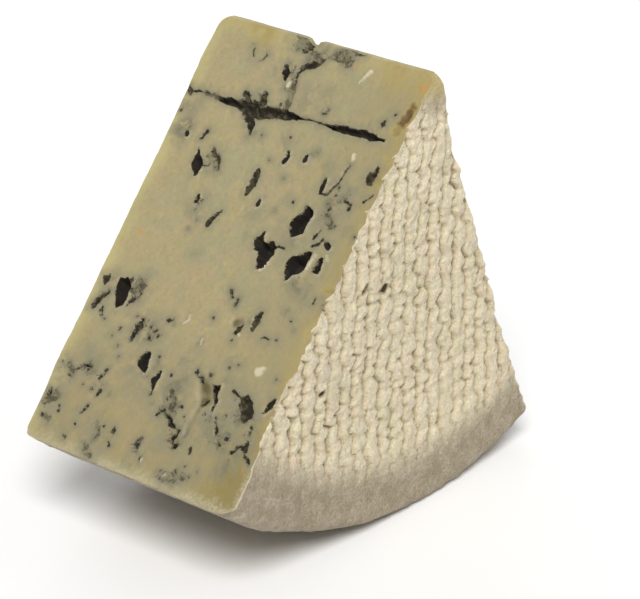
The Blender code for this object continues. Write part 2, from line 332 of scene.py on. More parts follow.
# %% Strokes on the veined face
EYES = (
    # between the channel and the three big eyes
    (1.0, (28.2, 22.8, 0.5), (28.6, 22.6, 0.55)),
    (2.8, (30.2, 18.2), (32.0, 17.1), (32.8, 15.9), (33.5, 15.2), (34.5, 15.2), (35.5, 15.4),
     (36.5, 15.5), (36.8, 16.4), (36.0, 16.6), (35.5, 17.6), (34.8, 18.1), (33.7, 18.3), (32.6, 18.4),
     (31.6, 18.0), (30.7, 18.3)),
    (1.3, (40.1, 12.8, 0.3), (41.0, 12.7, 0.52), (41.7, 12.9, 0.45)),
    (1.4, (25.6, -3.3, 0.4), (26.7, -3.6, 0.62), (27.9, -3.3, 0.6)),
    (1.3, (36.5, -2.0), (37.3, -2.6), (38.4, -2.6), (38.8, -1.9), (38.0, -1.6), (37.3, -1.8)),
    (0.8, (25.3, -8.2, 0.42), (26.3, -8.2, 0.58)),
    (1.6, (28.8, -15.2, 0.42), (30.2, -15.2, 0.6), (31.7, -15.2, 0.42)),
    # the big eyes
    (4.2, (35.0, -13.6), (35.4, -14.3), (36.0, -15.6), (36.7, -16.0), (37.7, -15.8), (39.2, -15.8),
     (41.0, -15.9), (41.5, -15.0), (41.9, -14.1), (42.4, -13.3), (41.5, -12.4), (40.0, -11.6),
     (38.8, -11.6), (37.4, -12.5), (36.5, -13.5), (35.4, -13.4)),
    (3.6, (42.9, -6.5), (43.2, -7.1), (44.2, -7.0), (45.1, -7.5), (45.3, -8.4), (44.7, -9.0),
     (44.5, -9.7), (45.1, -10.6), (45.4, -11.4), (46.1, -11.1), (46.9, -11.4), (47.7, -11.0),
     (48.5, -10.9), (49.3, -10.8), (50.2, -10.5), (50.7, -9.5), (50.9, -8.7), (49.5, -8.1), (48.1, -7.7),
     (47.4, -7.4), (47.4, -6.0), (46.8, -6.3), (46.2, -5.7), (44.8, -5.3), (44.4, -6.1), (43.7, -6.3)),
    (3.8, (44.0, -19.9), (44.7, -20.0), (46.0, -19.9), (47.0, -19.9), (48.2, -19.6), (49.0, -18.9),
     (49.7, -17.6), (50.8, -17.1), (51.1, -16.5), (49.7, -15.4), (47.8, -14.9), (46.7, -15.1),
     (45.8, -15.5), (45.6, -16.7), (44.8, -17.8), (44.2, -18.2), (43.9, -19.0)),
    (2.6, (44.1, -22.3), (44.5, -23.0), (45.9, -23.2), (47.3, -23.4), (47.9, -23.3), (48.0, -22.1),
     (47.7, -21.5), (46.8, -21.6), (45.6, -21.8), (44.6, -21.9)),
    (1.2, (41.5, -22.1, 0.58), (42.0, -22.8, 0.6)),
    # the eyes by the far edge
    (3.8, (61.1, 20.8), (62.1, 19.8), (62.9, 19.1), (64.2, 18.7), (65.2, 18.4), (66.2, 18.7),
     (67.2, 18.9), (68.5, 20.0), (67.7, 20.6), (66.5, 21.1), (65.2, 22.0), (63.7, 22.3), (62.4, 22.5),
     (61.8, 22.4), (61.8, 21.5)),
    # the middle of the face
    (3.2, (74.5, 7.8), (74.3, 6.9), (74.7, 6.2), (75.6, 6.1), (76.6, 6.0), (77.8, 5.6), (78.8, 5.5),
     (79.0, 6.0), (78.5, 7.2), (78.0, 8.2), (77.1, 8.7), (76.1, 8.7), (75.2, 8.3)),
    (1.6, (77.7, 2.0, 0.4), (78.7, 2.4, 0.75), (79.6, 2.7, 0.85), (80.6, 2.4, 0.55), (81.4, 2.1, 0.3)),
    (2.6, (76.2, -11.2), (75.9, -12.8), (75.4, -13.4), (76.2, -13.5), (77.3, -13.5), (78.3, -13.8),
     (78.9, -14.5), (79.8, -14.4), (80.9, -14.4), (82.0, -14.5), (81.3, -13.7), (80.7, -13.5),
     (80.0, -13.9), (79.1, -13.5), (78.3, -12.4), (77.2, -11.8)),
    (1.7, (74.8, -26.8, 0.45), (76.1, -26.4, 0.74), (77.3, -26.0, 0.45), (78.0, -25.8, 0.2)),
)
# shallower eyes, whose mould is more olive
SLOTS = (
    (1.3, (41.9, 6.0, 0.22), (43.4, 6.8, 0.5), (45.0, 7.6, 0.68), (45.7, 7.6, 0.4)),
    (1.7, (30.9, 1.9), (30.6, 1.5), (31.3, 0.8), (32.6, 0.7), (34.4, 0.7), (36.0, 1.0), (37.0, 1.2),
     (37.2, 2.0), (36.4, 2.3), (35.4, 2.6), (34.0, 2.4), (32.8, 2.2), (31.7, 2.2)),
    (1.9, (26.5, -24.2), (24.8, -24.0), (24.3, -25.2), (23.0, -25.6), (23.1, -26.1), (24.6, -26.3),
     (26.0, -26.0), (27.3, -26.3), (27.6, -25.3), (27.2, -24.5)),
    (1.3, (62.8, 27.0), (62.5, 25.8), (61.9, 25.3), (63.3, 24.9), (64.1, 25.1), (64.7, 25.4),
     (64.0, 26.3)),
    (1.3, (62.9, -11.6, 0.5), (63.9, -11.1, 0.78), (64.8, -10.9, 0.45)),
    (0.7, (79.4, -12.0, 0.18), (80.4, -11.4, 0.36), (80.9, -10.6, 0.22)),
    (1.3, (59.1, -14.8, 0.4), (60.3, -14.6, 0.75), (61.6, -14.6, 0.78), (62.9, -14.5, 0.62)),
)
VEINS = (
    (1.5, (76.7, -18.8), (76.4, -20.0), (75.3, -20.4), (76.4, -21.3), (77.6, -22.7), (79.7, -23.4),
     (80.8, -22.9), (81.4, -22.0), (80.9, -20.5), (79.3, -20.4), (78.0, -19.3)),
    (0.5, (18.7, 27.7, 0.58), (19.6, 26.8, 0.68)),
    (2.2, (19.2, 14.6, 0.7), (18.9, 12.8, 1.3), (19.4, 10.2, 1.95), (19.4, 7.7, 1.5)),
    (2.0, (19.4, 7.7, 1.5), (18.8, 5.0, 1.25), (18.6, 2.7, 0.9)),
    (1.2, (16.6, 12.9, 0.7), (17.9, 11.4, 1.0)),
    (1.2, (15.9, 8.6, 1.0), (17.3, 8.2, 1.25)),
    (1.3, (20.4, 10.4, 1.0), (21.4, 9.4, 1.0)),
    (0.7, (13.8, -22.4, 0.24), (14.4, -22.3, 0.43)),
    (0.8, (14.8, -8.1, 0.24), (15.8, -7.7, 0.38)),
    (1.0, (2.9, 4.5, 0.5), (3.9, 3.8, 0.75), (3.2, 2.7, 0.4)),
    (1.0, (0.9, -8.0, 0.5), (0.9, -9.3, 0.9), (1.1, -10.6, 0.5)),
    (1.0, (4.9, -1.7, 0.3), (5.9, -0.8, 0.7), (6.7, 0.5, 0.75), (7.3, 1.8, 0.6), (8.6, 2.7, 0.5),
     (10.3, 3.2, 0.3)),
    (0.9, (26.7, 18.0, 0.39), (28.5, 18.6, 0.35)),
    (0.7, (29.8, 14.4, 0.25), (31.1, 13.7, 0.54), (32.6, 13.3, 0.4)),
    (0.7, (31.1, 13.1, 0.54), (32.5, 11.8, 0.65), (33.9, 11.0, 0.32)),
    (0.8, (64.6, 17.0, 0.3), (65.8, 16.6, 0.4), (66.4, 17.4, 0.25)),
    (1.5, (65.6, 23.6, 0.45), (66.8, 24.6, 0.6), (68.1, 25.2, 0.62), (69.4, 25.5, 0.7)),
    (0.9, (69.0, 23.4, 0.19), (70.0, 23.1, 0.35), (70.7, 22.6, 0.16)),
    (1.1, (69.0, 12.3, 0.6), (70.2, 12.3, 0.9), (71.4, 12.5, 0.65), (72.6, 12.7, 0.45),
     (73.6, 13.0, 0.27)),
    (0.9, (81.4, 2.1, 0.25), (82.4, 2.2, 0.3)),
    (0.8, (74.9, -6.3, 0.31), (75.5, -7.2, 0.31), (75.6, -8.3, 0.39), (76.4, -8.5, 0.23)),
    (0.8, (56.9, -5.4, 0.39), (58.1, -6.3, 0.23)),
    (0.8, (58.2, -8.0, 0.39), (59.4, -8.1, 0.35)),
    (1.1, (84.5, -2.7, 0.19), (85.1, -1.7, 0.27), (86.1, -1.3, 0.19)),
    (1.2, (85.2, -3.3, 0.19), (85.7, -5.1, 0.47), (86.7, -5.8, 0.47), (87.0, -6.9, 0.35)),
    (1.4, (87.3, -8.1, 0.39), (88.6, -8.2, 0.47), (89.7, -7.7, 0.35), (90.4, -8.5, 0.16)),
    (1.0, (90.1, -9.7, 0.35), (90.7, -9.3, 0.43), (91.1, -8.5, 0.27)),
    (1.2, (91.5, -0.8, 0.27), (92.2, -0.4, 0.39), (93.4, -0.1, 0.55), (94.1, -0.7, 0.16)),
    (1.0, (95.3, -1.6, 0.31), (95.6, -2.3, 0.43)),
    (0.8, (92.0, 6.6, 0.27), (92.5, 6.5, 0.47)),
    (0.5, (94.9, 6.6, 0.16), (95.3, 6.2, 0.31)),
    (0.6, (89.4, 15.5, 0.23), (90.5, 15.9, 0.35), (91.3, 16.6, 0.23)),
    (1.1, (83.0, 22.3, 0.16), (81.9, 21.3, 0.23), (81.6, 19.7, 0.35), (82.0, 19.1, 0.39),
     (82.7, 19.6, 0.16)),
    (1.0, (81.1, 14.9, 0.31), (82.2, 15.4, 0.23), (83.1, 15.9, 0.31)),
    (0.6, (86.0, 16.4, 0.39), (86.1, 16.6, 0.23)),
    (0.7, (85.6, 14.3, 0.27), (86.7, 14.7, 0.23)),
    (0.9, (89.0, 26.5, 0.45), (89.9, 26.1, 0.6)),
    (0.6, (91.5, 26.6, 0.35), (92.0, 26.2, 0.4)),
    (0.9, (81.3, -24.5, 0.31), (82.3, -24.5, 0.19), (83.1, -24.6, 0.23)),
    (1.4, (84.5, -25.2, 0.43), (85.7, -25.2, 0.7), (86.5, -25.6, 0.35)),
    (1.0, (85.7, -24.1, 0.31), (86.6, -23.1, 0.23), (87.6, -22.8, 0.27)),
    (1.3, (87.7, -26.3, 0.27), (88.0, -27.2, 0.39), (88.7, -27.7, 0.23)),
    (0.8, (86.8, -18.4, 0.19), (87.1, -19.1, 0.35)),
    (0.8, (89.9, -13.0, 0.19), (90.8, -13.3, 0.27)),
    (0.5, (85.3, -20.2, 0.31), (85.6, -20.4, 0.31)),
)
# clefts that are nearly black between ragged lips
CLEFTS = (
    (2.0, (19.2, 19.8, 0.22), (19.2, 17.6, 0.65), (19.0, 15.6, 0.9), (19.2, 13.8, 0.8)),
    (2.0, (18.8, 3.6, 0.7), (18.6, 1.4, 1.05), (18.3, -0.6, 0.8), (18.2, -2.6, 0.25)),
    (1.8, (21.2, 9.6, 0.7), (22.6, 8.1, 1.0), (23.9, 7.8, 0.45)),
    (1.9, (18.0, -9.3, 0.24), (18.0, -11.9, 0.6), (17.8, -14.3, 0.84), (17.6, -16.8, 0.72),
     (17.5, -18.9, 0.91)),
    (1.9, (17.5, -18.9, 0.91), (17.6, -21.1, 0.82), (17.7, -22.7, 0.43), (17.5, -24.1, 0.14)),
    (1.6, (8.4, 6.4, 0.5), (9.8, 5.8, 0.85), (11.2, 5.3, 0.4)),
    (1.4, (85.4, -3.6, 0.2), (85.9, -5.0, 0.5), (86.8, -5.9, 0.5), (87.1, -6.9, 0.35)),
    (1.4, (87.4, -8.0, 0.4), (88.7, -8.2, 0.5), (89.6, -7.8, 0.35)),
)
# spongy mats where the mould is young: grey-green, flecked with dark
MATS = (
    (0.4, (0.2, 6.6, 1.1), (1.2, 5.3, 1.5), (2.6, 4.3, 1.3), (3.8, 3.6, 0.8)),
    (0.3, (4.1, 1.6, 0.6), (4.6, 0.2, 0.8), (5.2, -1.0, 0.7)),
    (0.3, (4.0, -2.4, 0.6), (3.2, -4.4, 0.9), (3.4, -6.4, 1.2), (4.0, -7.9, 1.1)),
    (0.3, (9.8, 3.6, 0.4), (12.4, 2.7, 0.7), (14.6, 2.3, 0.7), (16.4, 1.8, 0.6)),
    (0.3, (18.9, 24.6, 0.3), (18.9, 22.0, 0.45), (19.1, 19.4, 0.5)),
    (0.3, (97.2, -8.8, 0.8), (97.0, -11.2, 1.0), (96.4, -13.4, 0.8), (95.6, -15.4, 0.4)),
    (0.3, (80.2, -2.4, 0.7), (81.8, -3.6, 1.1), (83.4, -4.6, 0.9)),
    (0.3, (61.4, 17.4, 0.9), (63.0, 16.8, 1.3), (64.4, 16.2, 0.8)),
    (0.3, (36.0, -19.4, 0.7), (37.2, -20.4, 0.9), (37.8, -21.8, 0.6)),
    (0.3, (31.6, 14.2, 0.7), (32.6, 12.6, 1.0), (33.6, 11.6, 0.6)),
    (0.3, (82.6, 25.0, 0.6), (83.6, 23.6, 0.8), (85.0, 22.8, 0.5)),
    (0.3, (89.4, 24.9, 0.7), (90.2, 24.2, 0.8), (91.4, 26.0, 0.9), (92.0, 26.8, 0.6)),
    (0.3, (92.4, 11.4, 0.7), (93.4, 10.5, 0.9), (94.6, 10.6, 0.6)),
    (0.25, (97.0, 12.4, 0.6), (98.2, 11.0, 0.8), (99.0, 9.6, 0.5)),
    (0.25, (94.4, 24.6, 0.5), (95.0, 23.6, 0.7)),
)
CRACKS = (
    (0.5, (19.6, 26.8, 0.27), (18.9, 24.3, 0.31), (18.8, 22.0, 0.39), (19.3, 17.4, 0.23)),
    (0.5, (18.2, -2.3, 0.24), (17.8, -5.4, 0.19), (17.9, -7.6, 0.22), (18.0, -9.3, 0.24)),
    (0.6, (9.7, 3.0, 0.34), (11.2, 2.6, 0.3), (13.1, 2.3, 0.24), (14.6, 1.9, 0.18), (16.3, 1.8, 0.22)),
    (0.4, (7.9, 4.4, 0.16), (8.8, 4.3, 0.16)),
    (0.5, (0.3, 6.9, 0.34), (0.9, 4.6, 0.29), (1.8, 2.7, 0.29), (3.8, 3.6, 0.38)),
    (0.4, (31.9, -15.3, 0.17), (31.8, -17.0, 0.19), (30.5, -17.6, 0.19), (28.9, -18.3, 0.19)),
    (0.4, (28.9, -18.3, 0.19), (27.4, -18.6, 0.24), (26.2, -18.8, 0.19), (24.7, -19.2, 0.22)),
    (0.5, (31.8, -21.3, 0.29), (32.1, -22.7, 0.24), (32.5, -23.5, 0.38), (33.4, -23.4, 0.29)),
    (0.4, (30.9, -26.1, 0.26), (30.1, -26.6, 0.14), (29.0, -27.6, 0.12)),
    (0.4, (45.1, -11.2, 0.17), (45.0, -12.8, 0.34)),
    (0.3, (38.9, -19.3, 0.14), (40.5, -18.7, 0.29), (41.3, -18.6, 0.19)),
    (0.3, (40.9, -20.8, 0.14), (42.2, -20.1, 0.29), (43.0, -19.1, 0.34)),
    (0.3, (33.9, 14.9, 0.11), (33.6, 13.7, 0.11)),
    (0.6, (82.2, -15.5, 0.16), (83.5, -16.1, 0.19), (84.6, -17.3, 0.25), (85.5, -17.4, 0.19)),
    (0.5, (76.0, -16.9, 0.31), (76.8, -19.1, 0.18), (76.8, -20.0, 0.19), (75.7, -20.3, 0.23)),
    (0.3, (52.8, -25.3, 0.18), (53.9, -25.2, 0.21)),
    (0.25, (64.0, -17.5, 0.12), (63.6, -18.4, 0.16), (63.8, -19.5, 0.27)),
    (0.15, (6.7, 16.0, 0.1), (7.5, 15.9, 0.16), (8.4, 15.3, 0.08)),
    (0.15, (6.4, 13.1, 0.08), (7.3, 12.3, 0.18), (8.4, 12.6, 0.12), (9.0, 13.4, 0.06)),
)
# small marks of mould that only stain the cut: (down, along, half width)
SPECKS = (
    (5.9, 16.8, 0.1), (11.1, 5.5, 0.27), (13.3, 4.3, 0.18), (16.7, 3.3, 0.35), (24.0, 26.8, 0.31),
    (24.8, 7.5, 0.35), (24.0, 4.6, 0.27), (23.9, 6.5, 0.25), (3.1, -4.0, 0.43), (3.7, -5.7, 0.36),
    (4.0, -8.0, 0.53), (2.8, -7.9, 0.22), (5.0, -7.7, 0.26), (2.5, -4.5, 0.26), (0.7, -11.4, 0.34),
    (4.0, -0.1, 0.38), (5.3, -1.9, 0.26), (11.8, -24.1, 0.26), (41.0, 11.4, 0.36), (42.0, 12.0, 0.2),
    (45.2, 10.7, 0.29), (47.5, 11.9, 0.25), (22.6, -2.2, 0.18), (28.5, 0.4, 0.22), (31.1, -5.1, 0.23),
    (38.3, -6.8, 0.23), (35.4, -9.9, 0.29), (29.6, -21.7, 0.22), (29.5, -19.2, 0.26), (31.4, -19.3, 0.26),
    (34.4, -19.3, 0.34), (37.1, -19.5, 0.26), (37.5, -22.0, 0.36), (38.4, -27.7, 0.38),
    (24.7, -9.1, 0.19), (24.0, -10.3, 0.24), (61.8, 19.3, 0.47), (63.4, 18.1, 0.51), (61.4, 16.7, 0.31),
    (62.6, 16.9, 0.39), (63.7, 15.4, 0.35), (66.1, 17.0, 0.31), (71.3, 21.5, 0.19), (72.1, 16.6, 0.35),
    (74.0, 17.7, 0.25), (75.7, 15.1, 0.27), (77.6, 13.7, 0.27), (82.8, 26.6, 0.27), (84.9, 23.4, 0.31),
    (85.7, 19.0, 0.18), (85.5, 11.7, 0.18), (94.2, 16.1, 0.31), (96.9, 18.1, 0.35), (97.2, 17.3, 0.25),
    (92.1, 9.5, 0.33), (92.8, 10.7, 0.35), (84.4, -8.0, 0.25), (77.4, -0.7, 0.29), (82.7, -6.6, 0.27),
    (82.8, -4.4, 0.35), (82.2, -2.1, 0.27), (69.6, 9.5, 0.35), (69.9, 7.7, 0.47), (70.8, 6.7, 0.39),
    (71.8, 8.6, 0.43), (68.4, 13.9, 0.23), (67.0, 5.8, 0.51), (66.7, 5.0, 0.27), (67.6, 4.3, 0.18),
    (63.4, -4.2, 0.35), (74.8, 4.0, 0.31), (74.5, -9.9, 0.39), (70.8, -15.2, 0.39), (71.9, -13.6, 0.31),
    (74.5, -13.9, 0.19), (69.3, -3.7, 0.19), (66.6, -10.9, 0.23), (81.3, -17.7, 0.23),
    (82.3, -12.7, 0.21), (84.2, 0.8, 0.23), (87.3, -16.8, 0.21), (94.4, 25.4, 0.4), (92.8, 22.0, 0.3),
    (91.7, 22.3, 0.3), (93.9, 16.5, 0.35), (98.4, 10.6, 0.35), (97.4, 12.2, 0.3), (83.4, -23.9, 0.19),
    (94.0, -17.2, 0.27), (97.2, -9.6, 0.58), (97.6, -11.2, 0.35), (97.6, -12.1, 0.35),
    (96.0, -14.7, 0.27), (95.4, -15.7, 0.25), (95.1, -12.0, 0.23), (93.8, -13.7, 0.23),
    (79.0, -20.4, 0.51), (79.7, -21.7, 0.58), (58.8, -22.5, 0.23), (60.2, -24.0, 0.18),
    (57.2, -20.5, 0.19), (53.8, -28.0, 0.27), (53.0, -28.8, 0.25), (70.7, -25.1, 0.27),
    (63.4, -21.3, 0.19), (76.2, -17.2, 0.27),
)
print(len(EYES), "eyes,", len(VEINS), "veins,", len(CRACKS), "cracks and", len(SPECKS), "specks")

# %% [markdown]
# Some marks have no edge. A bloom of young mould tints the paste round the eyes grey-green, shallow dips
# are pressed in and darkened with painted shade, and the paste is warmer where it has dried. Each of these
# is a soft round spot: (down, along, radius, amount). The furrow that the knife dragged below a cleft, and
# the pale flakes of curd that stand up, are strokes again, and the furrow gets painted shade as well.

# %% Soft marks on the veined face
BLOOM = (
    (2.2, 5.2, 4.0, 1.2), (8.4, 5.9, 2.6, 1.0), (6.0, 1.5, 3.0, 1.1), (12.4, 3.6, 2.6, 1.0),
    (15.4, 2.6, 2.2, 0.9), (3.2, -6.3, 4.0, 1.2), (1.0, -9.8, 2.2, 1.2), (3.4, -1.0, 2.6, 1.0),
    (32.6, 12.6, 4.0, 0.8), (27.6, 24.6, 4.4, 1.0), (62.6, 17.4, 4.6, 1.1), (66.4, 23.0, 4.0, 0.9),
    (70.6, 8.6, 4.4, 1.0), (71.0, 12.4, 4.0, 1.0), (81.4, 19.4, 5.5, 1.1), (84.6, 16.0, 4.6, 0.9),
    (84.6, -4.6, 5.5, 1.1), (80.6, -3.4, 5.5, 1.0), (79.6, -21.0, 6.0, 1.1), (85.0, -17.0, 6.0, 1.0),
    (82.0, -14.4, 5.5, 1.0), (36.0, -19.6, 5.5, 1.0), (31.0, -21.4, 4.0, 1.0), (97.0, -10.4, 4.4, 1.1),
    (93.6, -0.6, 3.4, 0.9), (79.4, 5.0, 5.0, 0.9), (88.0, -24.6, 4.0, 0.9), (90.4, 25.6, 4.2, 1.1),
    (93.4, 10.4, 3.6, 0.9), (84.0, 24.0, 4.0, 0.8), (74.0, -3.0, 4.0, 0.7), (88.6, -8.6, 5.0, 1.1),
    (89.0, -5.4, 4.0, 1.2), (86.6, -20.0, 5.0, 1.1), (90.4, -22.0, 4.0, 1.0), (51.6, -19.0, 4.0, 1.0),
    (53.0, -22.6, 3.0, 0.9), (33.0, -19.6, 3.4, 1.2), (29.6, -18.0, 3.0, 1.0), (80.0, 8.0, 4.0, 0.7),
    (76.4, -16.6, 4.4, 0.9), (43.6, -14.0, 6.0, 0.8), (26.0, -15.0, 3.0, 0.5), (92.8, 24.6, 3.4, 0.7),
    (95.0, 23.2, 2.4, 0.7), (94.4, 10.8, 3.4, 1.0), (96.4, 19.0, 2.4, 0.6), (1.6, 1.6, 2.6, 1.0),
    (3.4, 4.2, 2.2, 1.0), (1.2, 8.0, 2.0, 0.6), (3.4, -4.4, 2.6, 1.0), (2.6, -7.8, 2.4, 1.0),
    (1.0, -10.4, 1.8, 0.7), (5.8, -1.0, 2.2, 0.8), (9.4, 4.4, 2.2, 0.9), (12.4, 3.4, 2.4, 1.0),
    (15.4, 3.0, 2.4, 0.9), (7.6, 14.2, 3.0, 0.2), (14.1, -1.7, 5.2, 0.6), (12.0, -5.5, 3.4, 0.3),
    (11.6, 7.6, 3.4, 0.3), (17.4, 9.6, 3.4, 0.9), (20.6, 8.2, 3.2, 0.8), (18.4, 1.0, 2.6, 0.6),
    (24.2, -2.1, 3.0, 0.55), (24.0, 25.6, 3.4, 0.8), (21.4, 23.0, 2.2, 0.5), (32.8, 15.3, 3.0, 1.0),
    (35.5, 15.5, 2.6, 0.7), (43.3, 11.5, 4.0, 0.85), (41.0, 10.6, 2.0, 0.6), (39.7, -3.8, 4.4, 0.6),
    (35.6, -9.0, 2.4, 0.4), (29.8, -16.7, 2.4, 0.7), (35.0, -20.0, 3.0, 0.9), (38.4, -19.6, 3.2, 0.8),
    (39.3, -10.2, 2.4, 0.6), (42.4, -16.0, 3.0, 0.6), (42.0, -22.4, 2.6, 0.7), (46.0, -13.0, 2.4, 0.5),
    (45.6, -3.8, 1.8, 0.4), (47.6, 12.0, 2.0, 0.4), (51.6, 7.2, 2.4, 0.3), (37.9, -25.8, 2.0, 0.5),
    (62.9, 17.0, 4.4, 1.0), (62.0, 24.0, 3.2, 0.8), (67.8, 23.6, 3.0, 0.7), (66.8, 16.2, 2.2, 0.4),
    (70.8, 7.8, 3.0, 0.9), (70.6, 12.9, 3.0, 0.8), (67.0, 5.6, 1.8, 0.6), (76.6, 4.0, 2.8, 1.0),
    (79.6, 2.4, 2.2, 0.6), (76.2, 10.6, 1.6, 0.4), (81.6, 17.9, 3.4, 1.0), (85.8, 15.2, 2.6, 0.8),
    (78.2, 14.6, 1.6, 0.4), (89.7, 24.4, 2.6, 1.0), (92.6, 25.0, 3.4, 0.6), (93.9, 10.5, 2.8, 0.9),
    (92.0, 7.2, 2.0, 0.6), (98.0, 8.6, 3.4, 0.6), (93.0, -1.4, 2.4, 0.9), (96.6, 0.4, 2.6, 0.7),
    (85.2, -6.2, 2.0, 1.0), (71.1, -14.2, 2.8, 0.8), (76.2, -8.0, 2.0, 0.5), (63.8, -11.6, 1.6, 0.4),
    (61.5, -12.8, 1.8, 0.9), (81.4, -17.0, 3.4, 0.9), (77.0, -17.6, 3.0, 0.9), (83.8, -24.8, 2.6, 0.8),
    (86.6, -24.0, 2.0, 0.7), (88.8, -13.6, 3.0, 0.6), (80.2, -12.6, 2.2, 0.6), (96.5, -14.4, 2.6, 0.9),
    (94.4, -17.0, 2.0, 0.6), (57.6, -21.6, 3.0, 0.4), (63.8, -18.6, 1.8, 0.4), (53.4, -26.6, 2.2, 0.5),
    (56.8, -5.8, 1.8, 0.5), (74.8, -25.6, 2.0, 0.6), (24.8, -9.4, 1.8, 0.4),
)
DIPS = (
    (62.3, -9.7, 2.0, 0.9), (75.4, -10.2, 1.6, 0.5), (76.6, 4.0, 2.0, 0.35), (65.2, 2.4, 1.3, 0.3),
    (69.0, -3.3, 1.2, 0.3), (11.2, -27.2, 1.6, 0.5), (92.0, -20.5, 4.5, 0.35), (64.6, -13.4, 1.4, 0.25),
    (22.6, -21.6, 1.2, 0.3), (79.6, -21.6, 3.4, 0.5), (18.9, 9.5, 4.0, 0.5),
)
FURROWS = (
    (1.5, (76.6, -9.5, 1.1), (78.0, -10.6, 1.5), (79.4, -11.2, 1.3), (80.6, -11.0, 0.7)),
    (0.55, (80.2, -10.9, 0.6), (82.5, -10.4, 0.6), (84.4, -10.1, 0.7), (86.6, -10.0, 0.8),
     (88.0, -10.0, 0.5)),
)
# a low amount gilds the paste, 0.8 makes it amber, and from 1.2 it is brown
WARM = (
    (4.2, -27.2, 6.5, 0.5), (9.2, -27.1, 1.9, 1.5), (10.4, -26.9, 2.0, 2.0), (11.8, -26.8, 2.0, 2.1),
    (13.4, -26.7, 1.9, 1.5), (15.2, -26.7, 2.2, 0.9), (26.5, -28.2, 3.0, 0.6), (38.0, -28.4, 3.4, 0.45),
    (50.0, -28.6, 4.0, 0.6), (60.0, -28.2, 3.6, 0.5), (70.0, -28.0, 4.0, 0.55), (80.4, -28.2, 3.6, 0.6),
    (91.6, -25.0, 6.5, 0.62), (95.4, -24.0, 6.0, 0.55), (96.0, 2.0, 4.0, 0.3), (2.0, 16.0, 9.0, 0.5),
    (3.0, -20.0, 7.0, 0.5), (0.0, 27.0, 9.0, 0.4), (77.0, -26.4, 3.0, 0.3), (22.0, -27.4, 3.0, 0.45),
)
# orange spots of dried curd
EMBERS = (
    (5.0, -28.6, 2.0, 0.8), (51.4, 22.7, 1.0, 1.0), (90.2, -27.4, 1.0, 0.35), (3.9, -10.4, 1.3, 0.4),
    (27.4, 18.4, 1.0, 0.7), (70.4, 7.0, 1.0, 0.5), (93.6, 0.9, 1.2, 0.5), (61.6, 15.0, 1.2, 0.4),
)
FLAKES = (
    (0.5, (4.4, -13.8, 0.43), (6.0, -13.1, 0.34), (7.6, -12.3, 0.14)),
    (0.5, (22.4, -19.1, 0.43), (23.5, -19.4, 0.29)),
    (0.5, (70.6, -20.5, 0.97), (69.7, -21.2, 0.49)),
    (0.35, (44.5, -20.8, 0.29), (47.5, -20.1, 0.29)),
    (0.3, (43.6, -23.3, 0.24), (44.5, -24.0, 0.24)),
    (0.4, (49.0, -10.9, 0.34), (50.9, -9.8, 0.34)),
    (0.3, (94.3, -27.7, 0.14), (94.5, -27.5, 0.12)),
    (0.35, (11.4, 3.8, 0.27), (12.6, 4.0, 0.27)),
    (0.35, (64.8, -12.0, 0.27), (65.2, -12.2, 0.2)),
    (0.35, (95.7, -2.8, 0.27), (96.0, -2.6, 0.2)),
    (0.3, (64.4, 1.4, 0.2), (65.6, 1.2, 0.25), (66.4, 2.0, 0.2)),
    (0.25, (68.4, -4.0, 0.2), (69.4, -4.2, 0.2)),
    (0.3, (96.4, -9.5, 0.2), (96.6, -10.0, 0.22)),
    (0.3, (96.6, -11.6, 0.18), (96.3, -12.0, 0.22)),
    (0.3, (95.5, -12.7, 0.15), (95.7, -13.1, 0.2)),
    (0.3, (95.4, -10.6, 0.15), (95.5, -11.0, 0.2)),
)
POCK_COUNT, POCK_DRAW = 110, 7
SPOT_SHIFT, SPOT_SHIFT_MOST = 0.42, 1.6
print(len(BLOOM), "spots of bloom,", len(WARM), "warm spots and", len(FLAKES), "flakes")


def pock_marks():
    """Tiny random dents all over a face, where crumbs came away with the knife."""
    draw = random.Random(POCK_DRAW)
    return tuple(
        (draw.uniform(3, 97), draw.uniform(-27, 27), draw.uniform(0.45, 1.2), draw.uniform(0.08, 0.3))
        for _ in range(POCK_COUNT)
    )


def spots(down, along, marks):
    """The strongest soft spot at each place: one less the squared distance in radii, squared, times amount.

    Random hills first shift each place by up to a part of the spot's radius, so that no spot is quite round.
    """
    total = np.zeros(down.shape)
    shift_down, shift_along = rough_hills(down, along, 4.0, 30), rough_hills(down, along, 4.0, 40)
    for spot_down, spot_along, radius, amount in marks:
        share = min(SPOT_SHIFT * radius, SPOT_SHIFT_MOST)
        off_down, off_along = down + share * shift_down - spot_down, along + share * shift_along - spot_along
        gap = (off_down**2 + off_along**2) / radius**2
        total = np.maximum(total, amount * np.clip(1 - gap, 0, 1) ** 2)
    return total


# %% [markdown]
# ## From strokes to a surface
# For each point of the face, the distance to a stroke's outline is the distance to its middle line less
# the half width there. Inside an eye the cheese falls away steeply at first and then flattens, and random
# hills roughen the outline. The grid's points that lie close to an outline are moved onto it, so that an
# eye has a crisp lip.

# %% Distances to the strokes
def to_stroke(down, along, path):
    """(distance to the outline, half width, and the nearest place on the middle line) for one stroke."""
    best = np.full(down.shape, 99.0)
    width, near_down, near_along = np.ones(down.shape), down.copy(), along.copy()
    for (d0, a0, w0), (d1, a1, w1) in zip(path, path[1:]):
        run, rise = d1 - d0, a1 - a0
        part = np.clip(((down - d0) * run + (along - a0) * rise) / (run**2 + rise**2), 0, 1)
        at_down, at_along, half = d0 + part * run, a0 + part * rise, w0 + part * (w1 - w0)
        gap = np.hypot(down - at_down, along - at_along) - half
        closer = gap < best
        best = np.where(closer, gap, best)
        width = np.where(closer, half, width)
        near_down = np.where(closer, at_down, near_down)
        near_along = np.where(closer, at_along, near_along)
    return best, width, near_down, near_along


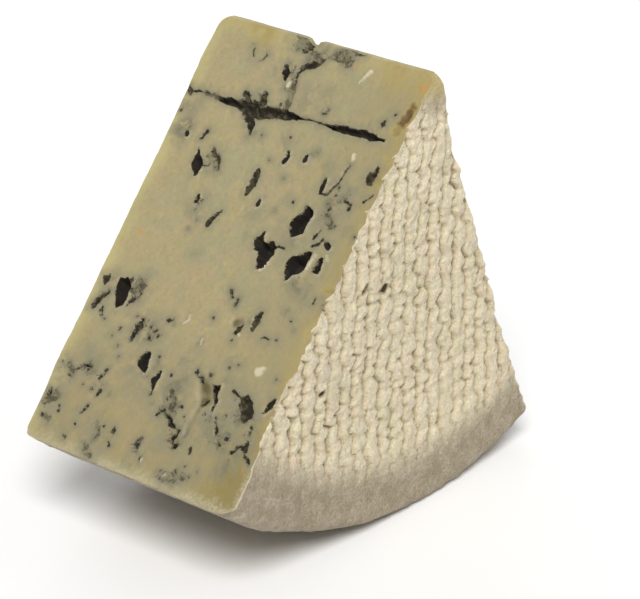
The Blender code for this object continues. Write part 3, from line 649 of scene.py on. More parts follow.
def to_outline(down, along, corners):
    """The same four for a closed outline of straight sides, negative inside.

    A place is inside when a line from it across the face meets the sides an odd number of times. The middle
    that is given lies one millimetre from the place, straight in from the nearest side.
    """
    best, inside = np.full(down.shape, 99.0), np.zeros(down.shape, bool)
    side_down, side_along = down.copy(), along.copy()
    for (d0, a0), (d1, a1) in zip(corners, corners[1:] + corners[:1]):
        run, rise = d1 - d0, a1 - a0
        part = np.clip(((down - d0) * run + (along - a0) * rise) / (run**2 + rise**2), 0, 1)
        gap = np.hypot(down - d0 - part * run, along - a0 - part * rise)
        closer = gap < best
        best = np.where(closer, gap, best)
        side_down = np.where(closer, d0 + part * run, side_down)
        side_along = np.where(closer, a0 + part * rise, side_along)
        if rise:
            inside ^= ((a0 > along) != (a1 > along)) & (down < d0 + (along - a0) / rise * run)
    turn = np.where(inside, -1, 1) / (best + 1e-9)
    near_down, near_along = down - turn * (down - side_down), along - turn * (along - side_along)
    best = np.where(inside, -best, best)
    return best, np.full(down.shape, max(0.3, -best.min())), near_down, near_along


def to_mark(down, along, path):
    """A mark given by places with widths is a stroke, and one given by bare places is an outline."""
    return (to_stroke if len(path[0]) == 3 else to_outline)(down, along, path)


def ragged(down, along, gap, width, share):
    """A distance to an outline, made uneven by hills of three sizes, less so where the stroke is thin."""
    uneven = share * rough_hills(down, along, 1.3, 80, 2) + share * 0.8 * hills(down, along, 0.75, 84)
    uneven = uneven + 0.55 * hills(down, along, 2.2, 82)
    return gap + 0.3 * uneven * np.clip(width, 0.2, 1.2)


# How ragged the outline of each kind of mark is. The materials read the kind from it, too.
EYE_SHARE, SLOT_SHARE, CLEFT_SHARE = 0.14, 0.26, 0.36
CRACK_SHARE, SPECK_SHARE, VEIN_SHARE, MAT_SHARE = 0.5, 0.7, 0.8, 1.0
SPECK_DEPTH = 0.14


def carve(down, along, groups, specks):
    """(depth, distance to the nearest outline, its half width, its middle, its raggedness) over all strokes.

    Inside a stroke the depth is its own times one less the cube of the share still to go to its full width.
    """
    depth = np.zeros(down.shape)
    edge, width, near_down, near_along = to_stroke(down, along, ((-50, 0, 0.1), (-51, 0, 0.1)))
    rag = np.full(down.shape, 0.5)
    for share, strokes in groups:
        for deep, *path in strokes:
            gap, half, at_down, at_along = to_mark(down, along, path)
            gap = ragged(down, along, gap, half, share)
            inside = np.clip(-gap / (0.9 * half), 0, 1)
            floor = deep * (1 + 0.35 * share * hills(down, along, 0.8, 86))
            depth = np.maximum(depth, floor * (1 - (1 - inside) ** 3))
            closer = gap < edge
            edge = np.where(closer, gap, edge)
            width = np.where(closer, half, width)
            near_down = np.where(closer, at_down, near_down)
            near_along = np.where(closer, at_along, near_along)
            rag = np.where(closer, share, rag)
    for speck_down, speck_along, radius in specks:
        gap = np.hypot(down - speck_down, along - speck_along) - radius
        gap = ragged(down, along, gap, radius * np.ones(down.shape), SPECK_SHARE)
        depth = np.maximum(depth, SPECK_DEPTH * smooth_step(-gap, 0, radius))
        rag = np.where(gap < edge, SPECK_SHARE, rag)
        edge = np.minimum(edge, gap)
    return depth, edge, width, near_down, near_along, rag


def snapped(down, along, groups, cell):
    """Points close to an outline moved onto it, and onto the middle line where a stroke is thin."""
    _, edge, width, near_down, near_along, _ = carve(down, along, groups, ())
    out_down, out_along = down - near_down, along - near_along
    reach = np.hypot(out_down, out_along) + 1e-9
    thin = (width < 0.75 * cell) & (reach < 0.5 * cell)
    close = (np.abs(edge) < 0.45 * cell) & (width >= 0.75 * cell)
    shift = np.where(thin, -reach, np.where(close, -edge, 0))
    return down + shift * out_down / reach, along + shift * out_along / reach


# %% [markdown]
# ## One closed skin
# The wedge is four patches: the veined face, the face cut behind it, and the rind with the heel in a near
# and a far band. Each patch is a grid with its own spacing, finest where it shows most. Where two patches
# meet, a strip of triangles walks along both borders at once and always takes the next point, so they
# join without a gap whatever their spacing. The worn upper edge is such a strip, too.

# %% Grids and strips
def grid_triangles(index, keep):
    """Two triangles for each cell of a grid. The shared diagonal joins the corners where keep is larger."""
    a, b, c, d = index[:-1, :-1], index[:-1, 1:], index[1:, 1:], index[1:, :-1]
    along_ac = (keep[:-1, :-1] + keep[1:, 1:] >= keep[:-1, 1:] + keep[1:, :-1])[..., None]
    one = np.where(along_ac, np.stack([a, b, c], -1), np.stack([a, b, d], -1))
    two = np.where(along_ac, np.stack([a, c, d], -1), np.stack([b, c, d], -1))
    return np.concatenate([one.reshape(-1, 3), two.reshape(-1, 3)])


def zip_strip(one, one_at, two, two_at):
    """Triangles between two rows of points: the next step is always the row whose next point comes first."""
    steps = np.concatenate([one_at[1:], two_at[1:]])
    of_one = np.concatenate([np.ones(len(one) - 1, bool), np.zeros(len(two) - 1, bool)])
    order = np.argsort(steps, kind="stable")
    of_one = of_one[order]
    i, j = np.cumsum(of_one), np.cumsum(~of_one)
    third = np.where(of_one, one[i], two[j])
    return np.stack([one[i - of_one], two[j - ~of_one], third], axis=1)


# %% [markdown]
# Rows follow the section, so they crowd together round the rim, and each row runs straight across the
# face from the near border to the far one. The borders are the rind's own outline at that cut, lumps and
# grooves included.

# %% Rows of a cut face
RIM_LENGTH = RIM_ALONG + RIM_DOWN - 3


def row_places(face_step, rim_step):
    """Places from 0 to 1 down a half section, with one spacing above the knee and another round the rim."""
    face = np.linspace(0, KNEE, round((KNEE_AWAY - WORN) / face_step) + 1)
    rim = np.linspace(KNEE, 1, round(RIM_LENGTH / rim_step) + 1)
    return np.concatenate([face, rim[1:]])


def cut_face(lean, rows, columns):
    """(down, along) of a grid over a cut face, stretched straight between the rind's outlines beside it."""
    near = rind_point(np.full(rows.shape, lean), rows)[0]
    far = rind_point(np.full(rows.shape, lean), 3 - rows)[0]
    heel = rind_point(np.full(columns - 2, lean), 1 + np.linspace(0, 1, columns)[1:-1])[0]
    down_near = np.hypot(near[:, 0], UPPER_EDGE - near[:, 2])
    down_far = np.hypot(far[:, 0], UPPER_EDGE - far[:, 2])
    part = np.linspace(0, 1, columns)
    down = down_near[:, None] * (1 - part) + down_far[:, None] * part
    along = near[:, 1][:, None] * (1 - part) + far[:, 1][:, None] * part
    down[-1, 1:-1] = np.hypot(heel[:, 0], UPPER_EDGE - heel[:, 2])
    along[-1, 1:-1] = heel[:, 1]
    return down, along


def border_of(index):
    """A grid's points down its near side, along its last row and up its far side."""
    return np.concatenate([index[:, 0], index[-1, 1:-1], index[::-1, -1]])


def place_on_cut(lean, down, along, out):
    """The point down a leaning face, along it and out of it."""
    side = -1.0 if lean < 0 else 1.0
    x = down * math.sin(lean) + side * out * math.cos(lean)
    z = UPPER_EDGE - down * math.cos(lean) + side * out * math.sin(lean)
    return np.stack([x, along, z], axis=-1)


# %% [markdown]
# The knife drags the soft paste a little, so a cut face is not quite flat: it has broad hollows of a few
# tenths of a millimetre and a fine drag. The relief dies out towards the borders, where the face meets
# the rind.

# %% Relief and marks of a cut face
# The lips on the lit side of the eyes are also coloured pale: a painted highlight.
LIP_HEIGHT, LIP_FACES = 0.25, (0.4, -0.9)  # lips stand up on the side that looks this way, (down, along)
HOLLOW_MOST = 0.5
WAVE_HEIGHT, WAVE_SIZE = 0.28, 14
ROUGH_HEIGHT, ROUGH_SIZE = 0.07, 2.4
DRAG_HEIGHT, DRAG_DOWN, DRAG_ALONG = 0.035, 0.25, 1.6  # the drag's hills are long down the face


def cut_marks(down, along, groups, specks, soft):
    """Every number that the face's shape and colours need, as a dictionary of arrays."""
    bloom, dips, furrows, warm, embers, flakes = soft
    depth, edge, _, near_down, near_along, rag = carve(down, along, groups, specks)
    hollow = spots(down, along, dips)
    for deep, *path in furrows:
        gap, half = to_mark(down, along, path)[:2]
        fall = deep * smooth_step(-gap / half, -0.8, 1.0)
        hollow = np.maximum(hollow, fall * (0.8 + 0.3 * hills(down, along, 1.6, 99)))
    raised, flake_and_highlight = np.zeros(down.shape), np.zeros(down.shape)
    for height, *path in flakes:
        gap = to_stroke(down, along, path)[0]
        raised = np.maximum(raised, height * smooth_step(-gap, -0.1, 0.35))
        flake_and_highlight = np.maximum(flake_and_highlight, smooth_step(-gap, -0.12, 0.1))
    out_down, out_along = down - near_down, along - near_along
    facing = LIP_FACES[0] * out_down + LIP_FACES[1] * out_along
    facing = np.clip(facing / (np.hypot(out_down, out_along) + 1e-9), 0, 1)
    lip = (rag <= EYE_SHARE) * facing * smooth_step(edge, -0.05, 0.1) * (1 - smooth_step(edge, 0.2, 0.8))
    lip = lip * (0.65 + 0.35 * hills(down, along, 1.2, 88))
    raised = np.maximum(raised, LIP_HEIGHT * lip)
    near_edge, far_edge = along - along[:, :1], along[:, -1:] - along
    heel_edge = down[-1:] - down
    border = np.minimum(np.minimum(near_edge, far_edge), heel_edge)
    calm = smooth_step(border, 0.0, 2.0) * smooth_step(down, WORN, 2.5)
    waves = WAVE_HEIGHT * rough_hills(down, along, WAVE_SIZE, 90)
    waves = waves + ROUGH_HEIGHT * rough_hills(down, along, ROUGH_SIZE, 94)
    drag = DRAG_HEIGHT * hills(down * DRAG_DOWN, along * DRAG_ALONG, 1.0, 97)
    out = calm * (waves + drag) - depth * smooth_step(border, -0.2, 0.5)
    return {
        "out": out - np.minimum(hollow, HOLLOW_MOST) * calm + raised,
        "depth": depth + 0.6 * hollow,
        "edge": edge,
        "bloom": spots(down, along, bloom),
        "warm": spots(down, along, warm),
        "ember": spots(down, along, embers),
        # pale curd of the flakes, and a painted highlight along the lips of the eyes
        "flake_and_highlight": np.maximum(flake_and_highlight, 0.75 * lip),
        "hollow": hollow,
        "rag": rag,
        "near_edge": near_edge,
        "far_edge": far_edge,
        "heel_edge": heel_edge,
        "down": down,
    }


# %% [markdown]
# ## The face cut behind
# Its eyes come from the same seeded draw as the solid's, each with a bloom round it and a few specks, so
# that the wedge looks the same kind of cheese from behind.

# %% Strokes on the face behind
BACK_EYES, BACK_GAP, BACK_MARGIN, BACK_DRAW = 13, 10.5, 9.0, 12
BACK_SPECKS = 7  # to each eye


def back_eyes():
    """Random places inside the face's edges, a fair gap apart, each with a length, a width and a slant."""
    draw = random.Random(BACK_DRAW)
    places = []
    while len(places) < BACK_EYES:
        down = draw.uniform(2 * BACK_MARGIN, RADIUS - BACK_MARGIN)
        along = draw.uniform(BACK_MARGIN - HALF, HALF - BACK_MARGIN)
        if all(math.hypot(down - d, along - a) > BACK_GAP for d, a in places):
            places.append((down, along))
    strokes = []
    for down, along in places:
        length = draw.uniform(4.0, 9.5)
        width = length * draw.uniform(0.36, 0.62)
        slant = math.radians(draw.uniform(-35, 35))
        half, reach = width / 2, (length - width) / 2
        step = (-math.cos(slant) * reach, math.sin(slant) * reach)
        ends = [
            (down + k * step[0], along + k * step[1], half * size)
            for k, size in ((-1, 0.6), (0, 1), (1, 0.75))
        ]
        strokes.append((0.9 * width, *ends))
    return tuple(strokes)


def back_marks(strokes):
    """Cracks that wander from one eye towards another, specks near them, and a bloom round each."""
    draw = random.Random(BACK_DRAW + 1)
    cracks, specks, bloom, warm = [], [], [], []
    for k, (_, _, (down, along, _), _) in enumerate(strokes):
        to_down, to_along, _ = strokes[(k + 3) % len(strokes)][2]
        if k % 2 == 0:
            path = [
                (down + part * (to_down - down) + draw.uniform(-1.5, 1.5),
                 along + part * (to_along - along) + draw.uniform(-1.5, 1.5), draw.uniform(0.12, 0.34))
                for part in np.linspace(0.15, 0.55, 5)
            ]
            cracks.append((0.5, *path))
        bloom.append((down + draw.uniform(-2, 2), along + draw.uniform(-2, 2), draw.uniform(3, 5.5), 0.8))
        for _ in range(BACK_SPECKS):
            turn, far = draw.uniform(0, math.tau), draw.uniform(2.5, 8)
            place = (down + far * math.cos(turn), along + far * math.sin(turn))
            specks.append((*place, draw.uniform(0.15, 0.45)))
        if k % 4 == 0:
            warm.append((down + draw.uniform(-9, 9), along + draw.uniform(-9, 9), draw.uniform(1.5, 3), 0.5))
    return tuple(cracks), tuple(specks), (tuple(bloom), pock_marks(), (), tuple(warm), (), ())


# %% [markdown]
# ## Build the mesh
# The four patches go into one list of points. The rind's first and last columns stop a little short of
# the cuts, and the strips join them to the cut faces' borders. At each end of the upper edge a fan of
# triangles round one extra point closes the corner.

# %% Build the mesh
FACE_STEP, RIM_STEP, FACE_COLUMNS = 0.35, 0.85, 150
BACK_STEP, BACK_RIM_STEP, BACK_COLUMNS = 1.05, 1.6, 58
RIND_STEP, RIND_COLUMNS, HEEL_ROWS = 0.48, 182, 8
RIND_FAR_STEP, RIND_FAR_COLUMNS = 1.2, 80
NICK_ALONG, NICK_LENGTH, NICK_DEPTH = 2.9, 3.8, 1.4
PASTE, RIND = 0, 1
RIND_INSET = math.radians(0.35)
SHARP = math.radians(70)  # a fold sharper than this is shaded as an edge
NO_EDGE = 9.0  # mm, on the rind, far from any mark of the cuts
NAMES = (
    "edge", "depth", "hollow", "bloom", "warm", "ember", "flake_and_highlight", "rag", "near_edge", "far_edge", "heel_edge",
    "down", "groove", "plain",
)


def build_face(lean, rows, columns, groups, specks, soft, cell):
    """(points, marks) of one cut face, its inner points snapped to the outlines of the strokes."""
    down, along = cut_face(lean, rows, columns)
    inner = (slice(1, -1), slice(1, -1))
    down[inner], along[inner] = snapped(down[inner], along[inner], groups, cell)
    marks = cut_marks(down, along, groups, specks, soft)
    return place_on_cut(lean, down, along, marks["out"]), marks


def build_rind(rows, columns):
    """(points, marks) of a band of the rind: the section's places in rows, carried about the edge."""
    angle = np.linspace(LEAN_VEINED + RIND_INSET, LEAN_BACK - RIND_INSET, columns)
    w, angle = np.meshgrid(rows, angle, indexing="ij")
    points, groove, plain = rind_point(angle, w)
    edge = np.full(w.shape, NO_EDGE)
    return points, {"groove": groove, "plain": plain, "down": section(w)[0], "edge": edge}


def nick(points):
    """Lowers the upper edge where a crumb broke out: a round notch that fades out below and at its ends."""
    off = (points[:, 1] - NICK_ALONG + 0.3 * hills(points[:, 1], points[:, 2], 1.1, 71)) / (NICK_LENGTH / 2)
    below = np.hypot(points[:, 0], UPPER_EDGE - points[:, 2])
    fall = NICK_DEPTH * (1 - smooth_step(np.abs(off), 0.25, 1.0)) * (1 - smooth_step(below, 0.8, 4.2))
    return points - fall[:, None] * np.array([0, 0, 1])


def front_face(rows):
    groups = (
        (EYE_SHARE, EYES), (SLOT_SHARE, SLOTS), (CLEFT_SHARE, CLEFTS), (VEIN_SHARE, VEINS),
        (CRACK_SHARE, CRACKS), (MAT_SHARE, MATS),
    )
    soft = (BLOOM, DIPS + pock_marks(), FURROWS, WARM, EMBERS, FLAKES)
    return build_face(LEAN_VEINED, rows, FACE_COLUMNS, groups, SPECKS, soft, FACE_STEP)


def back_face(rows):
    strokes = back_eyes()
    cracks, specks, soft = back_marks(strokes)
    groups = ((EYE_SHARE, strokes), (CRACK_SHARE, cracks))
    return build_face(LEAN_BACK, rows, BACK_COLUMNS, groups, specks, soft, BACK_STEP)


def joined(name, patches):
    """One mark over the points of all patches, zero where a patch doesn't have it."""
    return np.concatenate([m.get(name, np.zeros(p.shape[:2])).ravel() for p, m in patches])


def build_wedge():
    """(points, triangles, kinds, marks) of the skin: four grids, the strips between them and two fans."""
    rows, back_rows = row_places(FACE_STEP, RIM_STEP), row_places(BACK_STEP, BACK_RIM_STEP)
    half_heel = np.linspace(0, 0.5, HEEL_ROWS + 1)[1:] - 0.25 / HEEL_ROWS
    near_rows = np.concatenate([row_places(RIND_STEP, RIM_STEP), 1 + half_heel])
    far_rows = np.concatenate([2 - half_heel[::-1], 3 - row_places(RIND_FAR_STEP, BACK_RIM_STEP)[::-1]])
    patches = [front_face(rows), back_face(back_rows)]
    patches += [build_rind(near_rows, RIND_COLUMNS), build_rind(far_rows, RIND_FAR_COLUMNS)]
    shapes = [p.shape[:2] for p, _ in patches]
    starts = np.cumsum([0] + [math.prod(shape) for shape in shapes])
    index = [first + np.arange(math.prod(shape)).reshape(shape) for first, shape in zip(starts, shapes)]
    points = np.concatenate([p.reshape(-1, 3) for p, _ in patches])
    marks = {name: joined(name, patches) for name in NAMES}
    triangles, kinds = [], []

    def take(found, kind):
        triangles.append(found)
        kinds.append(np.full(len(found), kind))

    for k, (_, found) in enumerate(patches):
        cut = k < 2
        take(grid_triangles(index[k], -found["edge" if cut else "groove"]), PASTE if cut else RIND)
    around = np.concatenate([near_rows, far_rows])
    for k, (places, column) in enumerate(((rows, 0), (back_rows, -1))):
        heel = 1 + np.linspace(0, 1, index[k].shape[1])[1:-1]
        at = np.concatenate([places, heel, 3 - places[::-1]])
        rind = np.concatenate([index[2][:, column], index[3][:, column]])
        take(zip_strip(border_of(index[k]), at, rind, around), RIND)
    near_angles, far_angles = np.linspace(0, 1, RIND_COLUMNS), np.linspace(0, 1, RIND_FAR_COLUMNS)
    take(zip_strip(index[2][-1], near_angles, index[3][0], far_angles), RIND)
    take(zip_strip(index[0][0], points[index[0][0], 1], index[1][0], points[index[1][0], 1]), PASTE)
    for end, ring in ((0, index[2][0]), (-1, index[3][-1])):
        ring = np.concatenate([[index[0][0][end]], ring, [index[1][0][end]]])
        pole = len(points)
        points = np.concatenate([points, points[ring].mean(axis=0, keepdims=True)])
        marks = {name: np.append(values, values[ring].mean()) for name, values in marks.items()}
        take(np.stack([np.full(len(ring), pole), ring, np.roll(ring, -1)], axis=1), RIND)
    return nick(points), np.concatenate(triangles), np.concatenate(kinds), marks


def mesh_from(name, points, triangles, kinds, marks):
    """A mesh object with its faces outward, a material for each face and the marks as point attributes."""
    mesh = bpy.data.meshes.new(name)
    mesh.from_pydata(points * MM, [], triangles)
    mesh.polygons.foreach_set("material_index", kinds.astype(np.int32))
    bm = bmesh.new()
    bm.from_mesh(mesh)
    bmesh.ops.recalc_face_normals(bm, faces=bm.faces)
    print("open edges:", sum(not edge.is_manifold for edge in bm.edges), "of", len(bm.edges))
    print("volume", round(bm.calc_volume(signed=True) * 1e6, 1), "ml")
    bm.to_mesh(mesh)
    bm.free()
    for key, values in marks.items():
        attribute = mesh.attributes.new(key, "FLOAT", "POINT")
        attribute.data.foreach_set("value", values.astype(np.float32))
    mesh.shade_smooth()
    mesh.set_sharp_from_angle(angle=SHARP)
    made = bpy.data.objects.new(name, mesh)
    bpy.context.scene.collection.objects.link(made)
    return made


points, triangles, kinds, marks = build_wedge()
cheese = mesh_from("cheese", points, triangles, kinds, marks)
print(len(points), "points and", len(triangles), "triangles")
print("the skin reaches from", points.min(axis=0).round(1), "to", points.max(axis=0).round(1), "mm")

# %% [markdown]
# ## Small tools for materials
# A material is a net of nodes. These helpers add a node, set its values and join it to others in one
# line, so that each finish below reads from top to bottom. A value given as a socket is linked and any
# other value is set.

# %% Node helpers
class Net:
    """Adds nodes to a node tree. A method that makes a value or a colour returns its output socket."""

    def __init__(self, tree):
        self.tree = tree

    def add(self, kind, settings=(), **inputs):
        node = self.tree.nodes.new(kind)
        for key, value in dict(settings).items():
            setattr(node, key, value)
        for key, value in inputs.items():
            self.put(value, node.inputs[key.replace("_", " ")])
        return node

    def put(self, value, socket):
        if isinstance(value, bpy.types.NodeSocket):
            self.tree.links.new(value, socket)
        else:
            socket.default_value = value

    def math(self, operation, one, two=0.0, clamp=False):
        node = self.add("ShaderNodeMath", {"operation": operation, "use_clamp": clamp})
        self.put(one, node.inputs[0])
        self.put(two, node.inputs[1])
        return node.outputs[0]

    def times(self, one, two):
        return self.math("MULTIPLY", one, two)

    def ramp(self, value, start, end, low=0.0, high=1.0):
        """Rises smoothly from low at start to high at end."""
        node = self.add("ShaderNodeMapRange", {"interpolation_type": "SMOOTHSTEP"})
        for socket, number in zip(node.inputs, (value, start, end, low, high)):
            self.put(number, socket)
        return node.outputs[0]

    def mix(self, share, one, two):
        """The first colour where share is 0 and the second where it is 1."""
        node = self.add("ShaderNodeMix", {"data_type": "RGBA"})
        self.put(share, node.inputs[0])
        self.put(one, node.inputs[6])
        self.put(two, node.inputs[7])
        return node.outputs[2]

    def noise(self, place, size, detail=3.0, rough=0.5):
        """Cloudy values from 0 to 1 whose clouds are about size millimetres across."""
        scale = 1 / (size * MM)
        node = self.add("ShaderNodeTexNoise", Vector=place, Scale=scale, Detail=detail, Roughness=rough)
        return node.outputs[0]

    def patches(self, place, size, start, end, low=0.0, high=1.0, detail=3.0, rough=0.5):
        """Clouds read through a ramp, so that they become patches of low and high with soft borders."""
        return self.ramp(self.noise(place, size, detail, rough), start, end, low, high)

    def swing(self, place, size, reach, detail=3.0, rough=0.5):
        """Cloudy values about 0, from minus a half to plus a half of reach."""
        return self.times(self.math("SUBTRACT", self.noise(place, size, detail, rough), 0.5), reach)

    def bumps(self, shader, *layers):
        """Bumps laid one over another on the shader's normal, each (height, strength, distance in mm)."""
        socket = shader.inputs["Normal"]
        for height, strength, distance in reversed(layers):
            bump = self.add("ShaderNodeBump", Height=height, Strength=strength, Distance=distance * MM)
            self.put(bump.outputs[0], socket)
            socket = bump.inputs["Normal"]

    def mark(self, name):
        return self.add("ShaderNodeAttribute", {"attribute_name": name}).outputs["Fac"]


def rgb(red, green, blue):
    """A display colour, 0 to 255 each, as the linear colour that a shader takes."""
    part = np.array([red, green, blue]) / 255
    linear = np.where(part <= 0.04045, part / 12.92, ((part + 0.055) / 1.055) ** 2.4)
    return (*(float(v) for v in linear), 1.0)


def new_group(name, inputs, outputs):
    """A node group with named inputs and outputs, each given as (name, kind of socket)."""
    group = bpy.data.node_groups.new(name, "ShaderNodeTree")
    for label, kind in inputs:
        group.interface.new_socket(label, in_out="INPUT", socket_type=kind)
    for label, kind in outputs:
        group.interface.new_socket(label, in_out="OUTPUT", socket_type=kind)
    net = Net(group)
    return group, net, net.add("NodeGroupInput").outputs, net.add("NodeGroupOutput").inputs


FLOAT, COLOR, VECTOR = "NodeSocketFloat", "NodeSocketColor", "NodeSocketVector"

# %% [markdown]
# ## Effects that both finishes share
# Curd is never one flat colour, so one group spreads two tints over a base in soft clouds. Another makes
# the fine grain that the eye reads as crumbly: tiny bumps with a few pits. A third breaks a clean mark
# into ragged mould.

# %% Shared groups
def make_clouds():
    group, net, given, out = new_group(
        "curd_clouds",
        [("Vector", VECTOR), ("Base", COLOR), ("Tint A", COLOR), ("Tint B", COLOR), ("Size", FLOAT),
         ("Amount", FLOAT)],
        [("Color", COLOR)],
    )
    wide = net.add("ShaderNodeTexNoise", Vector=given["Vector"], Detail=3.0, Roughness=0.55)
    net.put(net.math("DIVIDE", 1 / MM, given["Size"]), wide.inputs["Scale"])
    fine = net.add("ShaderNodeTexNoise", Vector=given["Vector"], Detail=2.0, Roughness=0.6)
    net.put(net.math("DIVIDE", 3.1 / MM, given["Size"]), fine.inputs["Scale"])
    first = net.times(net.ramp(wide.outputs[0], 0.42, 0.68), given["Amount"])
    second = net.times(net.ramp(fine.outputs[0], 0.48, 0.72), given["Amount"])
    color = net.mix(first, given["Base"], given["Tint A"])
    net.put(net.mix(second, color, given["Tint B"]), out["Color"])
    return group


def make_grain():
    group, net, given, out = new_group(
        "fine_grain",
        [("Vector", VECTOR), ("Size", FLOAT), ("Pits", FLOAT)],
        [("Height", FLOAT), ("Grain", FLOAT)],
    )
    fine = net.add("ShaderNodeTexNoise", Vector=given["Vector"], Detail=3.0, Roughness=0.62)
    net.put(net.math("DIVIDE", 1 / MM, given["Size"]), fine.inputs["Scale"])
    pit = net.add("ShaderNodeTexVoronoi", {"feature": "F1"}, Vector=given["Vector"], Randomness=1.0)
    net.put(net.math("DIVIDE", 0.28 / MM, given["Size"]), pit.inputs["Scale"])
    dip = net.times(net.ramp(pit.outputs["Distance"], 0.05, 0.22, 1.0, 0.0), given["Pits"])
    net.put(net.math("SUBTRACT", fine.outputs[0], dip), out["Height"])
    net.put(fine.outputs[0], out["Grain"])
    return group


def make_mould():
    group, net, given, out = new_group(
        "ragged_mould",
        [("Vector", VECTOR), ("Edge", FLOAT), ("Raggedness", FLOAT), ("Bloom", FLOAT)],
        [("Mask", FLOAT), ("Halo", FLOAT), ("Flecks", FLOAT), ("Haze", FLOAT), ("Mottle", FLOAT)],
    )
    place, rag, bloom = given["Vector"], given["Raggedness"], given["Bloom"]
    fine = net.swing(place, 0.45, net.ramp(rag, 0.8, 1.0, 1.1, 0.4), 2.0, 0.6)
    uneven = net.times(net.math("ADD", fine, net.swing(place, 1.2, 1.9, 2.0)), rag)
    edge = net.math("ADD", given["Edge"], uneven)
    soft = net.ramp(rag, 0.2, 0.6, 0.05, 0.16)
    net.put(net.ramp(edge, net.times(soft, -1.0), soft, 1.0, 0.0), out["Mask"])

    halo = net.times(net.ramp(edge, 0.0, 0.9, 1.0, 0.0), net.patches(place, 0.9, 0.34, 0.58, 0.15, rough=0.6))
    net.put(net.times(halo, net.ramp(rag, 0.4, 0.8, 0.35, 1.0)), out["Halo"])

    around = net.times(net.ramp(given["Edge"], 0.0, 2.4, 0.75, 0.0), net.ramp(rag, 0.1, 0.5, 0.75, 1.0))
    spread = net.math("MAXIMUM", net.math("POWER", bloom, 0.5), around, True)
    net.put(net.times(spread, net.patches(place, 2.4, 0.30, 0.52, detail=4.0, rough=0.6)), out["Haze"])

    lift = net.times(net.times(bloom, net.ramp(edge, 0.2, 2.6, 1.0, 0.45)), 0.17)
    fleck = net.math("ADD", net.noise(place, 0.75, 4.0, 0.66), lift)
    net.put(net.ramp(fleck, 0.70, 0.79), out["Flecks"])
    net.put(net.patches(place, 1.5, 0.46, 0.62, detail=5.0, rough=0.7), out["Mottle"])
    return group


CLOUDS, GRAIN, MOULD = make_clouds(), make_grain(), make_mould()


def use_group(net, group, **inputs):
    """The outputs of a group placed in a net, with its inputs set or joined."""
    return net.add("ShaderNodeGroup", {"node_tree": group}, **inputs).outputs


def new_material(name):
    """(material, net, shader, place) of a new material, the place being the object's own coordinates."""
    material = bpy.data.materials.new(name)
    material.use_nodes = True
    net = Net(material.node_tree)
    shader = material.node_tree.nodes["Principled BSDF"]
    place = net.add("ShaderNodeTexCoord").outputs["Object"]
    return material, net, shader, place


# %% [markdown]
# ## The cut paste
# Fresh paste is a pale straw colour, a little greener where mould is near and more gold towards the rind,
# where it has dried. Light goes a short way into it, so it has some subsurface scattering. The eyes are
# lined with olive mould, nearly black deep inside. Painted shade, over a more olive paste, darkens the face
# towards the heel and in its dips, and a painted highlight runs along the lips of the eyes on their lit
# side. The marks on the mesh say where each of these goes, so that the colour sits exactly where the shape
# does, and clouds of noise break it up.

# %% The cut paste
# patches of tint all over the paste: (size in mm, detail, roughness, start, end, share, tint)
PASTE_TINTS = (
    (9.0, 3.0, 0.5, 0.46, 0.64, 0.6, rgb(149, 146, 115)),
    (3.4, 3.0, 0.5, 0.52, 0.68, 0.5, rgb(168, 148, 118)),
    (2.1, 3.0, 0.5, 0.54, 0.70, 0.5, rgb(168, 161, 108)),
    (0.9, 4.0, 0.7, 0.46, 0.66, 0.5, rgb(148, 138, 98)),
)


def paste_ground(net, place, top, near, far, heel):
    """The paste's tints, drier borders, painted shade towards the heel, warm spots and the crust low down."""
    color = use_group(
        net, CLOUDS, Vector=place, Base=rgb(163, 151, 114), Tint_A=rgb(167, 150, 114),
        Tint_B=rgb(157, 149, 107), Size=4.0, Amount=1.0,
    )["Color"]
    for size, detail, rough, start, end, share, tint in PASTE_TINTS:
        color = net.mix(net.patches(place, size, start, end, 0.0, share, detail, rough), color, tint)
    # partly a more olive paste, partly painted shade: the face darkens towards the heel
    color = net.mix(net.ramp(top, 55.0, 98.0, 0.0, 0.55), color, rgb(144, 130, 92))
    color = net.mix(net.ramp(near, 0.0, 26.0, 0.65, 0.0), color, rgb(149, 138, 101))
    wander = net.swing(place, 4.0, 5.0, rough=0.6)
    for edge, width, amount, tint in (
        (top, 7.0, 0.60, rgb(180, 166, 114)),
        (far, 4.5, 0.85, rgb(180, 169, 118)),
        (near, 4.5, 0.85, rgb(158, 142, 94)),
        (heel, 4.0, 0.60, rgb(160, 150, 104)),
    ):
        color = net.mix(net.ramp(net.math("ADD", edge, wander), -0.5, width, amount, 0.0), color, tint)
    color = net.mix(net.ramp(top, 0.6, 1.8, 0.6, 0.0), color, rgb(204, 193, 148))

    warm = net.times(net.mark("warm"), net.patches(place, 2.2, 0.30, 0.62, 0.7, 1.1))
    gilt = net.mix(net.ramp(warm, 0.35, 0.80), rgb(166, 149, 94), rgb(140, 123, 74))
    gilt = net.mix(net.ramp(warm, 0.85, 1.30), gilt, rgb(98, 72, 34))
    color = net.mix(net.ramp(warm, 0.05, 0.6, 0.0, 0.9), color, gilt)
    low_near = net.times(net.ramp(top, 76.0, 92.0), net.ramp(near, 1.0, 16.0, 0.85, 0.0))
    color = net.mix(low_near, color, rgb(134, 120, 72))
    color = net.mix(net.times(net.mark("ember"), 0.9), color, rgb(190, 140, 76))

    border = net.math("MINIMUM", heel, net.times(near, 1.8))
    crumb = net.swing(place, 1.3, 8.0, 5.0, 0.78)
    crust = net.ramp(net.math("ADD", border, crumb), 0.2, 3.0, 0.9, 0.0)
    for share in (
        net.patches(place, 0.6, 0.40, 0.58, 0.4, detail=4.0, rough=0.72),
        net.ramp(top, 84.0, 94.0),
        net.ramp(near, 8.0, 46.0, 0.95, 0.6),
    ):
        crust = net.times(crust, share)
    return net.mix(crust, color, rgb(177, 169, 142))


